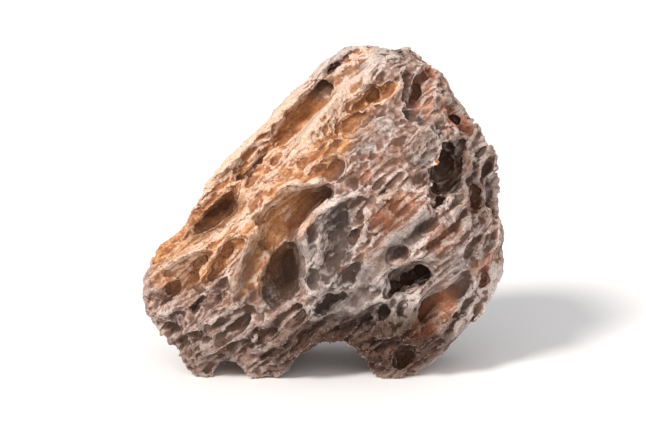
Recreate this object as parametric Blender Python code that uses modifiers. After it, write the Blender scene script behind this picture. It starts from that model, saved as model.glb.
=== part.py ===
"""Dragon stone: one piece of weathered clay stone that stands free on its own feet.

The stone is a wedge. Its narrow end lies low on the left, and its broad, craggy end rises on
the right. Water has hollowed it along its grain, which climbs from the low end to the high one,
and has left raised ribs between long scoops.

The block is lofted through upright sections. Ribs and knobs are then laid on its face and
melted into it, scoops and tunnels are cut out of it, and the feet are cut level where it
stands. X runs along the stone, Y from its face to its back, and Z up. The origin is on the
surface that it stands on, under the middle of the stone. The tables are in millimetres.
"""

import math
import random
from dataclasses import dataclass

import bmesh
import bpy
from mathutils import Matrix, Vector, noise
from mathutils.bvhtree import BVHTree

MM = 0.001

NAME = "dragon_stone"
STONE_COLOUR = (0.36, 0.25, 0.18, 1.0)
STONE_ROUGHNESS = 0.9

GRAIN_ANGLE = math.radians(42)
FACE_TILT = math.radians(12)
FACE_UP = Vector((0, math.sin(FACE_TILT), math.cos(FACE_TILT)))
FACE_IN = Vector((0, math.cos(FACE_TILT), -math.sin(FACE_TILT)))
STAND_OFF = 400 * MM

BLOCK_VOXEL = 2.4 * MM
STONE_VOXEL = 1.8 * MM
TRIANGLES = 9400


@dataclass
class Section:
    """An upright slice of the block at one x: its lowest and highest z, the y of its crest, and
    how far its face and its back stand out at three heights, low to high."""

    x: float
    low: float
    high: float
    crest: float
    face: tuple
    back: tuple


SECTIONS = [
    Section(-110, 38, 54, 2, (-8, -12, -8), (8, 12, 8)),
    Section(-102, 26, 70, 5, (-18, -28, -16), (18, 26, 16)),
    Section(-90, 12, 86, 8, (-28, -40, -20), (26, 38, 26)),
    Section(-76, -6, 102, 12, (-40, -48, -24), (40, 48, 36)),
    Section(-53, -10, 127, 14, (-42, -54, -28), (46, 58, 44)),
    Section(-32, -10, 147, 14, (-42, -56, -30), (50, 64, 50)),
    Section(-11, -10, 173, 14, (-44, -58, -34), (52, 68, 54)),
    Section(10, -10, 190, 12, (-46, -64, -40), (54, 70, 56)),
    Section(31, -10, 198, 10, (-48, -68, -44), (56, 70, 54)),
    Section(50, -6, 188, 8, (-44, -66, -46), (54, 66, 50)),
    Section(66, 8, 178, 6, (-38, -60, -42), (46, 60, 46)),
    Section(81, 24, 155, 2, (-30, -50, -36), (38, 52, 38)),
    Section(92, 38, 151, 0, (-24, -40, -30), (28, 40, 32)),
    Section(100, 50, 130, -2, (-16, -28, -18), (20, 28, 20)),
    Section(107, 58, 78, -4, (-10, -14, -10), (10, 14, 10)),
]
HEIGHT_SHARES = (0.18, 0.48, 0.8)
SOLE_SHARE = 0.6


@dataclass
class Rib:
    """A raised rib on the face: points (x, height) as seen from the front, its half width at
    each point, and how far its centre line stands out of the block."""

    points: tuple
    radii: tuple
    lift: float


RIBS = [
    # the thin lip along the upper left edge
    Rib(((-84, 90), (-63, 107), (-42, 129), (-22, 150), (-8, 166)), (4, 5, 5.5, 5.5, 4), 1.0),
    # the rib on the far side of the long trough
    Rib(((-70, 92), (-48, 104), (-26, 122), (-6, 142), (14, 160), (34, 178)), (4, 6, 6.5, 6.5, 7, 6), 1.0),
    # the pale rib above the big smooth scoop
    Rib(((-104, 44), (-86, 60), (-68, 74), (-44, 88), (-24, 104), (0, 112)), (7, 9, 9, 6, 7, 6), 2.0),
    # the finger below it
    Rib(((-66, 48), (-52, 62), (-38, 76), (-33, 82)), (10, 10, 9, 7), 8.0),
    # the rim and the rough plate of the upright slab
    Rib(((-4, 42), (-8, 62), (-6, 80), (8, 96)), (5, 5.5, 5.5, 5), 7.0),
    Rib(((4, 46), (5, 66), (9, 84)), (10, 10, 9), 2.0),
    # ribs between the hollows of the craggy end
    Rib(((14, 34), (26, 58), (40, 78), (54, 90)), (6, 7, 7, 6), 2.0),
    Rib(((30, 22), (42, 32), (54, 44)), (6, 6, 5), 2.0),
    Rib(((66, 20), (82, 32), (94, 46), (99, 62)), (7, 8, 8, 7), 2.0),
    Rib(((80, 84), (84, 104), (86, 124), (84, 138)), (6, 5.5, 6, 6), 2.0),
]


@dataclass
class Knob:
    """A rounded swelling on the face: its place as seen from the front, the angle of its long
    axis, its half axes, and how far its centre stands out of the block."""

    x: float
    height: float
    angle: float
    size: tuple
    lift: float


KNOBS = [
    Knob(32, 122, 30, (26, 18, 9), -2),
    Knob(56, 127, 70, (15, 11, 12), 2),
    Knob(88, 66, 80, (24, 13, 12), -2),
    Knob(93, 122, 80, (15, 8, 12), -2),
    Knob(40, 168, 30, (22, 14, 10), -2),
]


@dataclass
class Scoop:
    """A hollow in the face: its place as seen from the front, the angle of its long axis, its
    half length, half width and depth, and how far it runs straight back into the stone (1)
    rather than at right angles to the face (0)."""

    x: float
    height: float
    angle: float
    length: float
    width: float
    depth: float
    straight: float = 0.0


SCOOPS = [
    # the long ochre trough under the lip, in three pools
    Scoop(-12, 149, 50, 24, 9, 12),
    Scoop(-44, 116, 46, 19, 5.5, 9),
    Scoop(-64, 91, 40, 17, 10, 15),
    # the big smooth scoop below the pale rib, and the dark hollow under it
    Scoop(-18, 87, 43, 30, 13, 14),
    Scoop(-21, 58, 80, 20, 11.5, 26, 0.5),
    Scoop(-46, 48, 70, 15, 6, 12),
    # pools of the upper face
    Scoop(26, 158, 32, 18, 5.5, 7),
    Scoop(52, 162, 78, 15, 7.5, 9),
    Scoop(50, 146, 20, 5, 4, 8),
    Scoop(77, 145, -38, 11, 4.5, 9),
    # the deep shaft right of the knob, and the slit below it
    Scoop(68, 115, 66, 16, 9.5, 34, 0.9),
    Scoop(63, 99, 55, 9, 3.5, 16, 0.8),
    # hollows between the ribs of the craggy end
    Scoop(14, 74, 62, 9, 4.5, 8),
    Scoop(19, 58, 62, 10, 4.5, 9),
    Scoop(36, 70, 40, 10, 6.5, 8),
    Scoop(8, 40, 33, 13, 5.5, 8),
    Scoop(49, 53, 18, 16, 8.5, 36, 1.0),
    Scoop(67, 36, 44, 21, 8, 10, 0.3),
    Scoop(93, 56, 70, 9, 5, 7),
    Scoop(86, 92, 84, 10, 4, 7),
    Scoop(99, 97, 80, 12, 9, 11),
    Scoop(47, 7, 10, 9, 7, 16, 0.8),
]


@dataclass
class Arch:
    """A passage under the stone, from face to back: its place along X, its half width, its
    height, and how far it turns towards +X on its way back."""

    x: float
    width: float
    height: float
    turn: float


ARCHES = [
    Arch(7, 25, 23, 6),
    Arch(-62, 9, 10, -14),
]


@dataclass
class Wear:
    """Scooped weathering: the width of a scoop across the grain, how much longer it is along the
    grain, how deep it is at most, and how far noise bends the pattern."""

    width: float
    stretch: float
    depth: float
    bend: float


BLOCK_WEAR = Wear(23, 2.0, 11.0, 0.5)
STONE_WEAR = Wear(12, 2.2, 3.6, 0.45)

# hollows of the back, the ends and the top, which nobody placed: seed, count and size ranges
HIDDEN_SEED = 7
NOISE_SEED = 27
HIDDEN_COUNT = 44
HIDDEN_LENGTH = (8, 25)
HIDDEN_SHAPE = (0.34, 0.6)
HIDDEN_DEPTH = (0.6, 1.3)


def clear_scene():
    """Removes everything the startup file holds."""
    for obj in list(bpy.data.objects):
        bpy.data.objects.remove(obj)


def new_collection(name):
    """A collection linked to the scene."""
    made = bpy.data.collections.new(name)
    bpy.context.scene.collection.children.link(made)
    return made


def new_object(name, mesh, collection):
    """An object for this mesh, linked to the collection."""
    obj = bpy.data.objects.new(name, mesh)
    collection.objects.link(obj)
    return obj


def evaluated_mesh(obj):
    """A new mesh of the object as its modifiers leave it, in world space."""
    graph = bpy.context.evaluated_depsgraph_get()
    mesh = bpy.data.meshes.new_from_object(obj.evaluated_get(graph))
    mesh.transform(obj.matrix_world)
    return mesh


def settle(obj):
    """Replaces the object's mesh with what its modifiers make of it, and drops them."""
    bpy.context.view_layer.update()
    mesh = evaluated_mesh(obj)
    obj.modifiers.clear()
    obj.matrix_world = Matrix.Identity(4)
    obj.data = mesh


def tree_of(obj):
    """A search tree over the object's present shape."""
    bpy.context.view_layer.update()
    return BVHTree.FromObject(obj, bpy.context.evaluated_depsgraph_get())


def section_ring(section):
    """The section's outline: up its face, over the crest and down its back."""
    span = section.high - section.low
    levels = [section.low + share * span for share in HEIGHT_SHARES]
    outline = [(section.face[0] * SOLE_SHARE, section.low)]
    outline += list(zip(section.face, levels))
    outline.append((section.crest, section.high))
    outline += list(zip(reversed(section.back), reversed(levels)))
    outline.append((section.back[0] * SOLE_SHARE, section.low))
    return [Vector((section.x, y, z)) * MM for y, z in outline]


def loft_block(collection):
    """The plain wedge: a skin through the sections, closed at both ends."""
    shape = bmesh.new()
    rings = [[shape.verts.new(point) for point in section_ring(s)] for s in SECTIONS]
    around = len(rings[0])
    for near, far in zip(rings, rings[1:]):
        for i in range(around):
            j = (i + 1) % around
            shape.faces.new((near[i], near[j], far[j], far[i]))
    shape.faces.new(rings[0])
    shape.faces.new(rings[-1])
    bmesh.ops.recalc_face_normals(shape, faces=shape.faces)
    mesh = bpy.data.meshes.new("block")
    shape.to_mesh(mesh)
    shape.free()
    block = new_object(NAME, mesh, collection)
    melt(block, BLOCK_VOXEL, 0.5, 6)
    return block


def melt(obj, voxel, factor, turns):
    """Melts all the object's overlapping shapes into one skin and smooths it."""
    remesh = obj.modifiers.new("melt", "REMESH")
    remesh.mode = "VOXEL"
    remesh.voxel_size = voxel
    smooth = obj.modifiers.new("soften", "SMOOTH")
    smooth.factor = factor
    smooth.iterations = turns
    settle(obj)


def front_hit(tree, x, height):
    """Where a look from the front meets the stone, and the normal there."""
    start = Vector((x * MM, 0, 0)) + FACE_UP * (height * MM) - FACE_IN * STAND_OFF
    point, normal, _, _ = tree.ray_cast(start, FACE_IN)
    if point is None:
        edge = Vector((x * MM, 0, 0)) + FACE_UP * (height * MM)
        point, normal, _, _ = tree.find_nearest(edge)
    return point, normal


def seat(point, normal, along):
    """The frame of a feature on the surface: X along it, Z out of the stone."""
    out = normal.normalized()
    length = (along - out * along.dot(out)).normalized()
    across = out.cross(length)
    frame = Matrix((length, across, out)).transposed().to_4x4()
    return Matrix.Translation(point) @ frame


def face_direction(degrees):
    """The direction at this angle above +X, in the plane that the face is seen in."""
    angle = math.radians(degrees)
    return Vector((1, 0, 0)) * math.cos(angle) + FACE_UP * math.sin(angle)


def pebble(name, frame, size, collection, roughness=0.16):
    """An uneven ellipsoid with these half axes (mm), set in the frame."""
    shape = bmesh.new()
    bmesh.ops.create_icosphere(shape, subdivisions=3, radius=1)
    offset = frame.translation / (17 * MM)
    for vert in shape.verts:
        swell = 1 + roughness * noise.noise(vert.co * 1.4 + offset)
        vert.co *= swell
    bmesh.ops.scale(shape, vec=Vector(size) * MM, verts=shape.verts)
    bmesh.ops.transform(shape, matrix=frame, verts=shape.verts)
    mesh = bpy.data.meshes.new(name)
    shape.to_mesh(mesh)
    shape.free()
    return new_object(name, mesh, collection)


def rib_tube(name, tree, rib, collection):
    """A rib as a tapering tube whose centre line follows the face."""
    curve = bpy.data.curves.new(name, "CURVE")
    curve.dimensions = "3D"
    curve.bevel_depth = MM
    curve.bevel_resolution = 3
    curve.resolution_u = 6
    curve.use_fill_caps = True
    spline = curve.splines.new("BEZIER")
    spline.bezier_points.add(len(rib.points) - 1)
    for knot, (x, height), radius in zip(spline.bezier_points, rib.points, rib.radii):
        point, normal = front_hit(tree, x, height)
        knot.co = point + normal * (rib.lift - radius * 0.5) * MM
        knot.radius = radius
        knot.handle_left_type = knot.handle_right_type = "AUTO"
    guide = new_object(name + "_line", curve, collection)
    bpy.context.view_layer.update()
    tube = new_object(name, evaluated_mesh(guide), collection)
    bpy.data.objects.remove(guide)
    weld(tube)
    return tube


def weld(obj):
    """Joins points that lie on each other, such as a tube's caps and its wall."""
    shape = bmesh.new()
    shape.from_mesh(obj.data)
    bmesh.ops.remove_doubles(shape, verts=shape.verts, dist=0.01 * MM)
    bmesh.ops.recalc_face_normals(shape, faces=shape.faces)
    shape.to_mesh(obj.data)
    shape.free()


def add_swellings(stone, collection):
    """Lays the ribs and the knobs on the face and melts them into it."""
    tree = tree_of(stone)
    laid = [rib_tube(f"rib_{i}", tree, rib, collection) for i, rib in enumerate(RIBS)]
    for i, knob in enumerate(KNOBS):
        point, normal = front_hit(tree, knob.x, knob.height)
        frame = seat(point + normal * knob.lift * MM, normal, face_direction(knob.angle))
        laid.append(pebble(f"knob_{i}", frame, knob.size, collection))
    shape = bmesh.new()
    shape.from_mesh(stone.data)
    for piece in laid:
        shape.from_mesh(piece.data)
        bpy.data.objects.remove(piece)
    shape.to_mesh(stone.data)
    shape.free()
    melt(stone, STONE_VOXEL, 0.4, 1)


def grain_frame():
    """The turn that takes X to the grain's direction and keeps Y where it is."""
    return Matrix.Rotation(-GRAIN_ANGLE, 3, "Y")


def wear_depth(point, wear, to_grain):
    """How deep the weather has cut at this point: nothing on a rib, most in mid scoop."""
    local = to_grain @ point / (wear.width * MM)
    local.x /= wear.stretch
    local += noise.noise_vector(local * 0.8) * wear.bend
    distances, centres = noise.voronoi(local)
    gap = min(1.0, (distances[1] - distances[0]) / 0.6)
    share = 0.3 + 0.7 * noise.cell(centres[0] * 7.3)
    return wear.depth * share * gap * (2 - gap)


def weather(obj, wear):
    """Wears the whole skin away into scoops with ribs left between them."""
    to_grain = grain_frame().inverted()
    shape = bmesh.new()
    shape.from_mesh(obj.data)
    shape.normal_update()
    moves = [vert.normal * -wear_depth(vert.co, wear, to_grain) * MM for vert in shape.verts]
    for vert, move in zip(shape.verts, moves):
        vert.co += move
    shape.to_mesh(obj.data)
    shape.free()


def face_cutters(tree, cutters):
    """One cutter for each scoop of the face, sunk to its depth."""
    for i, scoop in enumerate(SCOOPS):
        point, normal = front_hit(tree, scoop.x, scoop.height)
        mouth = normal.lerp(-FACE_IN, scoop.straight)
        frame = seat(point, mouth, face_direction(scoop.angle))
        size = (scoop.length, scoop.width, scoop.depth)
        pebble(f"scoop_{i}", frame, size, cutters)


def hidden_cutters(tree, cutters):
    """Cutters for the sides that were left open: scattered, and drawn out along the grain."""
    rng = random.Random(HIDDEN_SEED)
    grain = face_direction(math.degrees(GRAIN_ANGLE))
    made = 0
    while made < HIDDEN_COUNT:
        heading = rng.uniform(math.radians(-25), math.radians(205))
        climb = rng.uniform(-0.5, 0.9)
        aim = Vector((math.cos(heading), math.sin(heading), climb)).normalized()
        target = Vector((rng.uniform(-85, 85), 0, rng.uniform(20, 150))) * MM
        point, normal, _, _ = tree.ray_cast(target + aim * STAND_OFF, -aim)
        if point is None or normal.y < -0.25 or normal.z < -0.75:
            continue
        length = rng.uniform(*HIDDEN_LENGTH)
        width = length * rng.uniform(*HIDDEN_SHAPE)
        depth = width * rng.uniform(*HIDDEN_DEPTH)
        pebble(f"hollow_{made}", seat(point, normal, grain), (length, width, depth), cutters, 0.3)
        made += 1


def arch_cutters(cutters):
    """A drawn-out pebble for each passage under the stone."""
    for i, arch in enumerate(ARCHES):
        along = Vector((math.sin(math.radians(arch.turn)), math.cos(math.radians(arch.turn)), 0))
        frame = seat(Vector((arch.x, 0, 0)) * MM, Vector((0, 0, 1)), along)
        pebble(f"arch_{i}", frame, (140, arch.width, arch.height), cutters, 0.1)


def floor_cutter(cutters):
    """A box whose top is the surface that the stone stands on."""
    bpy.ops.mesh.primitive_cube_add(size=1, location=(0, 0, -50 * MM))
    box = bpy.context.object
    box.name = "floor_box"
    box.data.transform(Matrix.Diagonal((400 * MM, 300 * MM, 100 * MM, 1)))
    for other in list(box.users_collection):
        other.objects.unlink(box)
    cutters.objects.link(box)
    return box


def cut(stone, name, cutter=None, collection=None):
    """Subtracts one cutter, or all those in a collection, from the stone."""
    boolean = stone.modifiers.new(name, "BOOLEAN")
    boolean.operation = "DIFFERENCE"
    if collection is None:
        boolean.object = cutter
    else:
        boolean.operand_type = "COLLECTION"
        boolean.collection = collection
    settle(stone)


def keep_largest(obj):
    """Drops the crumbs that the cuts left loose."""
    shape = bmesh.new()
    shape.from_mesh(obj.data)
    unseen = set(shape.verts)
    islands = []
    while unseen:
        edge_of_search = [unseen.pop()]
        island = set(edge_of_search)
        while edge_of_search:
            vert = edge_of_search.pop()
            for edge in vert.link_edges:
                other = edge.other_vert(vert)
                if other in unseen:
                    unseen.remove(other)
                    island.add(other)
                    edge_of_search.append(other)
        islands.append(island)
    largest = max(islands, key=len)
    loose = [vert for vert in shape.verts if vert not in largest]
    bmesh.ops.delete(shape, geom=loose, context="VERTS")
    shape.to_mesh(obj.data)
    shape.free()


def thin_out(obj, triangles):
    """Reduces the skin to about this many triangles, fewer where it is flat."""
    obj.data.calc_loop_triangles()
    decimate = obj.modifiers.new("thin_out", "DECIMATE")
    decimate.ratio = triangles / len(obj.data.loop_triangles)
    decimate.use_collapse_triangulate = True
    settle(obj)


def stand_on_origin(obj):
    """Moves the stone so that the origin is under its middle, where it stands."""
    points = [vert.co for vert in obj.data.vertices]
    low = Vector([min(point[axis] for point in points) for axis in range(3)])
    high = Vector([max(point[axis] for point in points) for axis in range(3)])
    middle = (low + high) / 2
    obj.data.transform(Matrix.Translation((-middle.x, -middle.y, -low.z)))


def stone_material():
    """Dry clay stone: dull ochre brown."""
    material = bpy.data.materials.new("clay_stone")
    material.use_nodes = True
    shader = material.node_tree.nodes["Principled BSDF"]
    shader.inputs["Base Color"].default_value = STONE_COLOUR
    shader.inputs["Roughness"].default_value = STONE_ROUGHNESS
    shader.inputs["Metallic"].default_value = 0.0
    return material


def main():
    """Builds the stone."""
    clear_scene()
    noise.seed_set(NOISE_SEED)
    collection = new_collection("dragon_stone_piece")
    cutters = new_collection("cutters")
    stone = loft_block(collection)
    weather(stone, BLOCK_WEAR)
    add_swellings(stone, collection)
    tree = tree_of(stone)
    face_cutters(tree, cutters)
    hidden_cutters(tree, cutters)
    arch_cutters(cutters)
    cut(stone, "hollow_out", collection=cutters)
    melt(stone, STONE_VOXEL, 0.4, 1)
    keep_largest(stone)
    weather(stone, STONE_WEAR)
    melt(stone, STONE_VOXEL, 0.3, 1)
    keep_largest(stone)
    thin_out(stone, TRIANGLES)
    cut(stone, "level_feet", cutter=floor_cutter(cutters))
    keep_largest(stone)
    stand_on_origin(stone)
    for cutter in cutters.objects:
        cutter.hide_render = True
        cutter.display_type = "WIRE"
    stone.data.materials.clear()
    stone.data.materials.append(stone_material())
    stone.data.shade_smooth()


main()
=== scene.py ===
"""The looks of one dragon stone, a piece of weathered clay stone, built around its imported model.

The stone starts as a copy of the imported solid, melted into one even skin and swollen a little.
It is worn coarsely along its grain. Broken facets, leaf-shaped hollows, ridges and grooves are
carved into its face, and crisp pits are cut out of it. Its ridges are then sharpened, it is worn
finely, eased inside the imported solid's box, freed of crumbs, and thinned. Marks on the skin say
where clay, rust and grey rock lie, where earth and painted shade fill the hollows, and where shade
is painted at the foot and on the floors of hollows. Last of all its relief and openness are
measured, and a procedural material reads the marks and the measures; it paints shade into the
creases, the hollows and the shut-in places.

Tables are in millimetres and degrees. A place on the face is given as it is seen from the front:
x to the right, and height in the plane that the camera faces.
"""

import logging
import math
from dataclasses import dataclass, field
from enum import Enum
from typing import Any

import bpy
import numpy as np
from mathutils import Matrix, Vector, noise
from mathutils.bvhtree import BVHTree


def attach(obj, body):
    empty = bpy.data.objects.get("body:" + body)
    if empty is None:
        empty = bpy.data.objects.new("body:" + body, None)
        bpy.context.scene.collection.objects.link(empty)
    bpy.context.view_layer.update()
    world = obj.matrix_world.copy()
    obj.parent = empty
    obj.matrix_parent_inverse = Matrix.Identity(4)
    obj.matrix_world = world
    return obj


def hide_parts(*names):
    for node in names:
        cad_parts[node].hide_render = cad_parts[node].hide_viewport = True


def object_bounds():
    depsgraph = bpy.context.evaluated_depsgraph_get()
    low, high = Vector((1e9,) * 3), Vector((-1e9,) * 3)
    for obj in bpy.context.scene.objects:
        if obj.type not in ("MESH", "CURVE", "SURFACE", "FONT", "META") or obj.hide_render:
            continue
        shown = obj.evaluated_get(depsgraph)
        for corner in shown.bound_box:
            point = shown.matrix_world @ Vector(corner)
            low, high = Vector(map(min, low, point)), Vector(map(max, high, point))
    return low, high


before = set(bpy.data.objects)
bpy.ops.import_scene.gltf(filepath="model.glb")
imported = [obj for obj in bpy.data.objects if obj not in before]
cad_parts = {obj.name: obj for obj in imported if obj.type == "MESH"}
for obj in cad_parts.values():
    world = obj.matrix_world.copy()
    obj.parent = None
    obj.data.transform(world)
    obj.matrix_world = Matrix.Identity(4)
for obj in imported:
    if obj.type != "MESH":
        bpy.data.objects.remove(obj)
CAD_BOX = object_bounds()

Array = np.ndarray
Object = bpy.types.Object

LOG = logging.getLogger("dragon_stone")
MM = 0.001
NODE = "dragon_stone"
BODY = "root"
NOISE_SEED = 5

GRAIN_ANGLE = math.radians(42)
FACE_TILT = math.radians(12)
FACE_UP = Vector((0, math.sin(FACE_TILT), math.cos(FACE_TILT)))
FACE_IN = Vector((0, math.cos(FACE_TILT), -math.sin(FACE_TILT)))
STAND_OFF = 400 * MM


# ---- Small helpers ----


def linear(hex_colour: str) -> tuple[float, float, float, float]:
    """Turns an sRGB hex colour into the linear one that nodes use.

    Args:
        hex_colour: six hex digits, such as "a8683a".

    Returns:
        Red, green, blue and an alpha of 1.
    """
    channels = [int(hex_colour[i : i + 2], 16) / 255 for i in (0, 2, 4)]
    bent = [c / 12.92 if c <= 0.04045 else ((c + 0.055) / 1.055) ** 2.4 for c in channels]
    return (bent[0], bent[1], bent[2], 1.0)


def select_only(obj: Object) -> None:
    """Deselects everything else and makes this object the active one.

    Args:
        obj: the object to select.
    """
    bpy.ops.object.select_all(action="DESELECT")
    obj.select_set(True)
    bpy.context.view_layer.objects.active = obj


def add_object(operator: Any, name: str, **settings: Any) -> Object:
    """Adds an object, with nothing else selected.

    Args:
        operator: the bpy.ops operator that adds it.
        name: what the object is called.
        settings: the operator's own properties.

    Returns:
        The new object.
    """
    bpy.ops.object.select_all(action="DESELECT")
    operator(**settings)
    bpy.context.object.name = name
    return bpy.context.object


def edit_all(obj: Object, operator: Any, **settings: Any) -> None:
    """Runs an operator in edit mode on the object's whole mesh.

    Args:
        obj: the object to change.
        operator: the bpy.ops operator.
        settings: the operator's own properties.
    """
    select_only(obj)
    bpy.ops.object.mode_set(mode="EDIT")
    bpy.ops.mesh.select_all(action="SELECT")
    operator(**settings)
    bpy.ops.object.mode_set(mode="OBJECT")


def apply_modifier(obj: Object, name: str, kind: str, **settings: Any) -> None:
    """Adds a modifier with these settings and applies it.

    Args:
        obj: the object to change.
        name: the modifier's name.
        kind: the modifier's type.
        settings: the modifier's own properties.
    """
    select_only(obj)
    modifier = obj.modifiers.new(name, kind)
    for key, value in settings.items():
        setattr(modifier, key, value)
    bpy.ops.object.modifier_apply(modifier=name)


def read_skin(obj: Object) -> tuple[Array, Array]:
    """The points of the object's mesh and the normals there, one to a row.

    Args:
        obj: the object whose mesh is read.

    Returns:
        The points and their normals, each an array of three columns.
    """
    places = np.empty(len(obj.data.vertices) * 3, np.float32)
    normals = np.empty_like(places)
    obj.data.vertices.foreach_get("co", places)
    obj.data.vertex_normals.foreach_get("vector", normals)
    return places.reshape(-1, 3), normals.reshape(-1, 3)


def move_skin(obj: Object, places: Array) -> None:
    """Moves the points of the object's mesh to these places."""
    obj.data.vertices.foreach_set("co", places.astype(np.float32).ravel())
    obj.data.update()


def smooth_step(low: float, high: float, value: Array) -> Array:
    """0 below low, 1 above high, and an even curve between them."""
    share = np.clip((value - low) / (high - low), 0, 1)
    return share * share * (3 - 2 * share)


def fractal_at(places: Array, size: float, shift: Vector, fall: float) -> Array:
    """Three layers of noise at each point.

    Args:
        places: the points, in metres.
        size: the width of the widest lumps, in metres.
        shift: where in the noise it starts.
        fall: how fast the finer layers weaken.

    Returns:
        The noise at each point, about -1 to 1.
    """
    points = (Vector(place) / size + shift for place in places.tolist())
    return np.array([noise.fractal(point, fall, 2.0, 3) for point in points])


def facing_front(normals: Array, low: float, high: float) -> Array:
    """How much each normal turns to the front, 0 at low or less and 1 at high or more."""
    return smooth_step(low, high, -(normals @ np.array(FACE_IN)))


def face_heights(places: Array) -> Array:
    """How high each point lies in the plane of the face, mm."""
    return (places @ np.array(FACE_UP)) / MM


def face_direction(degrees: float) -> Vector:
    """The direction at this angle above +X, in the plane that the face is seen in."""
    angle = math.radians(degrees)
    return Vector((1, 0, 0)) * math.cos(angle) + FACE_UP * math.sin(angle)


def face_point(x: float, height: float) -> Vector:
    """The point at this place on the face's plane through the origin."""
    return Vector((x * MM, 0, 0)) + FACE_UP * (height * MM)


def seat(point: Vector, out: Vector, along: Vector) -> Matrix:
    """The frame of a feature on the surface.

    Args:
        point: where it sits.
        out: the way out of the stone.
        along: roughly the way its length runs.

    Returns:
        A matrix whose X runs along the feature and whose Z points out of the stone.
    """
    up = out.normalized()
    length = (along - up * along.dot(up)).normalized()
    return Matrix.Translation(point) @ Matrix((length, up.cross(length), up)).transposed().to_4x4()


# ---- Node trees ----


MATH = "ShaderNodeMath"
VECTOR_MATH = "ShaderNodeVectorMath"


class Kind(Enum):
    """The nodes that the trees are made of. Each has its type name, its settings, the inputs that
    values fill in turn, and the output that is read."""

    ADD = (MATH, {"operation": "ADD"})
    SUBTRACT = (MATH, {"operation": "SUBTRACT"})
    MULTIPLY = (MATH, {"operation": "MULTIPLY"})
    DIVIDE = (MATH, {"operation": "DIVIDE"})
    MULTIPLY_ADD = (MATH, {"operation": "MULTIPLY_ADD"})
    POWER = (MATH, {"operation": "POWER"})
    ABSOLUTE = (MATH, {"operation": "ABSOLUTE"})
    FLOOR = (MATH, {"operation": "FLOOR"})
    FRACT = (MATH, {"operation": "FRACT"})
    LESS_THAN = (MATH, {"operation": "LESS_THAN"})
    MAXIMUM = (MATH, {"operation": "MAXIMUM"})
    MINIMUM = (MATH, {"operation": "MINIMUM"})
    VECTOR_ADD = (VECTOR_MATH, {"operation": "ADD"})
    VECTOR_SUBTRACT = (VECTOR_MATH, {"operation": "SUBTRACT"})
    VECTOR_MULTIPLY = (VECTOR_MATH, {"operation": "MULTIPLY"})
    SCALE = (VECTOR_MATH, {"operation": "SCALE"}, (0, "Scale"))
    DOT = (VECTOR_MATH, {"operation": "DOT_PRODUCT"}, (0, 1), "Value")
    TURN = ("ShaderNodeVectorRotate", {"rotation_type": "AXIS_ANGLE"}, ("Vector", "Axis", "Angle"))
    SPLIT = ("ShaderNodeSeparateXYZ",)
    JOIN = ("ShaderNodeCombineXYZ",)
    NOISE = ("ShaderNodeTexNoise", {}, ("Vector", "Scale", "Detail", "Roughness"))
    CELLS = ("ShaderNodeTexVoronoi", {}, ("Vector", "Scale", "Randomness"), "Distance")
    EDGES = (
        "ShaderNodeTexVoronoi",
        {"feature": "DISTANCE_TO_EDGE"},
        ("Vector", "Scale"),
        "Distance",
    )
    SPAN = ("ShaderNodeMapRange", {"interpolation_type": "SMOOTHSTEP"}, (0, 1, 2, 3, 4))
    MIX = ("ShaderNodeMix", {"data_type": "RGBA"}, (0, 6, 7), 2)
    # ends, fields and moves of a geometry tree
    ENTRY = ("NodeGroupInput",)
    EXIT = ("NodeGroupOutput",)
    POSITION = ("GeometryNodeInputPosition",)
    NORMAL = ("GeometryNodeInputNormal", {}, (), "Normal")
    MARKED = ("GeometryNodeInputNamedAttribute", {"data_type": "FLOAT"}, ("Name",), "Attribute")
    MOVE = ("GeometryNodeSetPosition", {}, ("Geometry", "Offset"))
    BLUR = ("GeometryNodeBlurAttribute", {"data_type": "FLOAT_VECTOR"}, ("Iterations",))
    RAY = (
        "GeometryNodeRaycast",
        {},
        ("Target Geometry", "Source Position", "Ray Direction", "Ray Length"),
        "Is Hit",
    )
    STORE = (
        "GeometryNodeStoreNamedAttribute",
        {"data_type": "FLOAT", "domain": "POINT"},
        ("Geometry", "Name", "Value"),
    )
    # ends and fields of a material
    OBJECT_PLACE = ("ShaderNodeTexCoord", {}, (), "Object")
    MAPPING = ("ShaderNodeMapping", {}, ("Vector", "Scale"))
    MEASURE = ("ShaderNodeAttribute", {}, (), "Fac")
    BUMP = ("ShaderNodeBump", {}, ("Strength", "Distance", "Height"))
    SHADER = (
        "ShaderNodeBsdfPrincipled",
        {},
        ("Base Color", "Roughness", "Normal", "Specular IOR Level"),
    )
    SURFACE = ("ShaderNodeOutputMaterial", {}, ("Surface",))

    def __init__(
        self,
        node: str,
        settings: dict[str, Any] | None = None,
        inputs: tuple[int | str, ...] = (0, 1, 2),
        output: int | str = 0,
    ) -> None:
        """Names the parts of the value."""
        self.node, self.settings, self.inputs, self.output = node, settings or {}, inputs, output


@dataclass
class Graph:
    """A node tree that is being built."""

    tree: Any = field(init=False)

    def add(self, kind: Kind, *values: Any, **settings: Any) -> Any:
        """Adds a node with its settings and links.

        Args:
            kind: which node.
            values: what fills its inputs in turn: an output socket to link from, a hex colour,
                or any other value.
            settings: more of the node's own properties.

        Returns:
            The output socket that is read, or None where the node has no outputs.
        """
        node = self.tree.nodes.new(kind.node)
        for name, value in {**kind.settings, **settings}.items():
            setattr(node, name, value)
        for key, value in zip(kind.inputs, values):
            socket = node.inputs[key]
            if isinstance(value, bpy.types.NodeSocket):
                self.tree.links.new(value, socket)
            else:
                socket.default_value = linear(value) if socket.type == "RGBA" else value
        return node.outputs[kind.output] if len(node.outputs) else None


# ---- Marks: what lies where on the skin ----


class Mark(Enum):
    """What a patch of the skin is marked with. Each is an attribute of the mesh."""

    CLAY = "clay"
    RUST = "rust"
    GREY = "grey"
    PALE = "pale"
    # earth in the deep hollows, with painted shade there and at the foot
    DIRT_AND_SHADE = "dirt"
    CALM = "calm"
    FLUTES = "flutes"
    WEBS = "webs"
    GRAINY = "grainy"
    # painted shade, darker where shade falls
    PAINTED_SHADE = "gloom"
    CREST = "crest"


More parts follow.
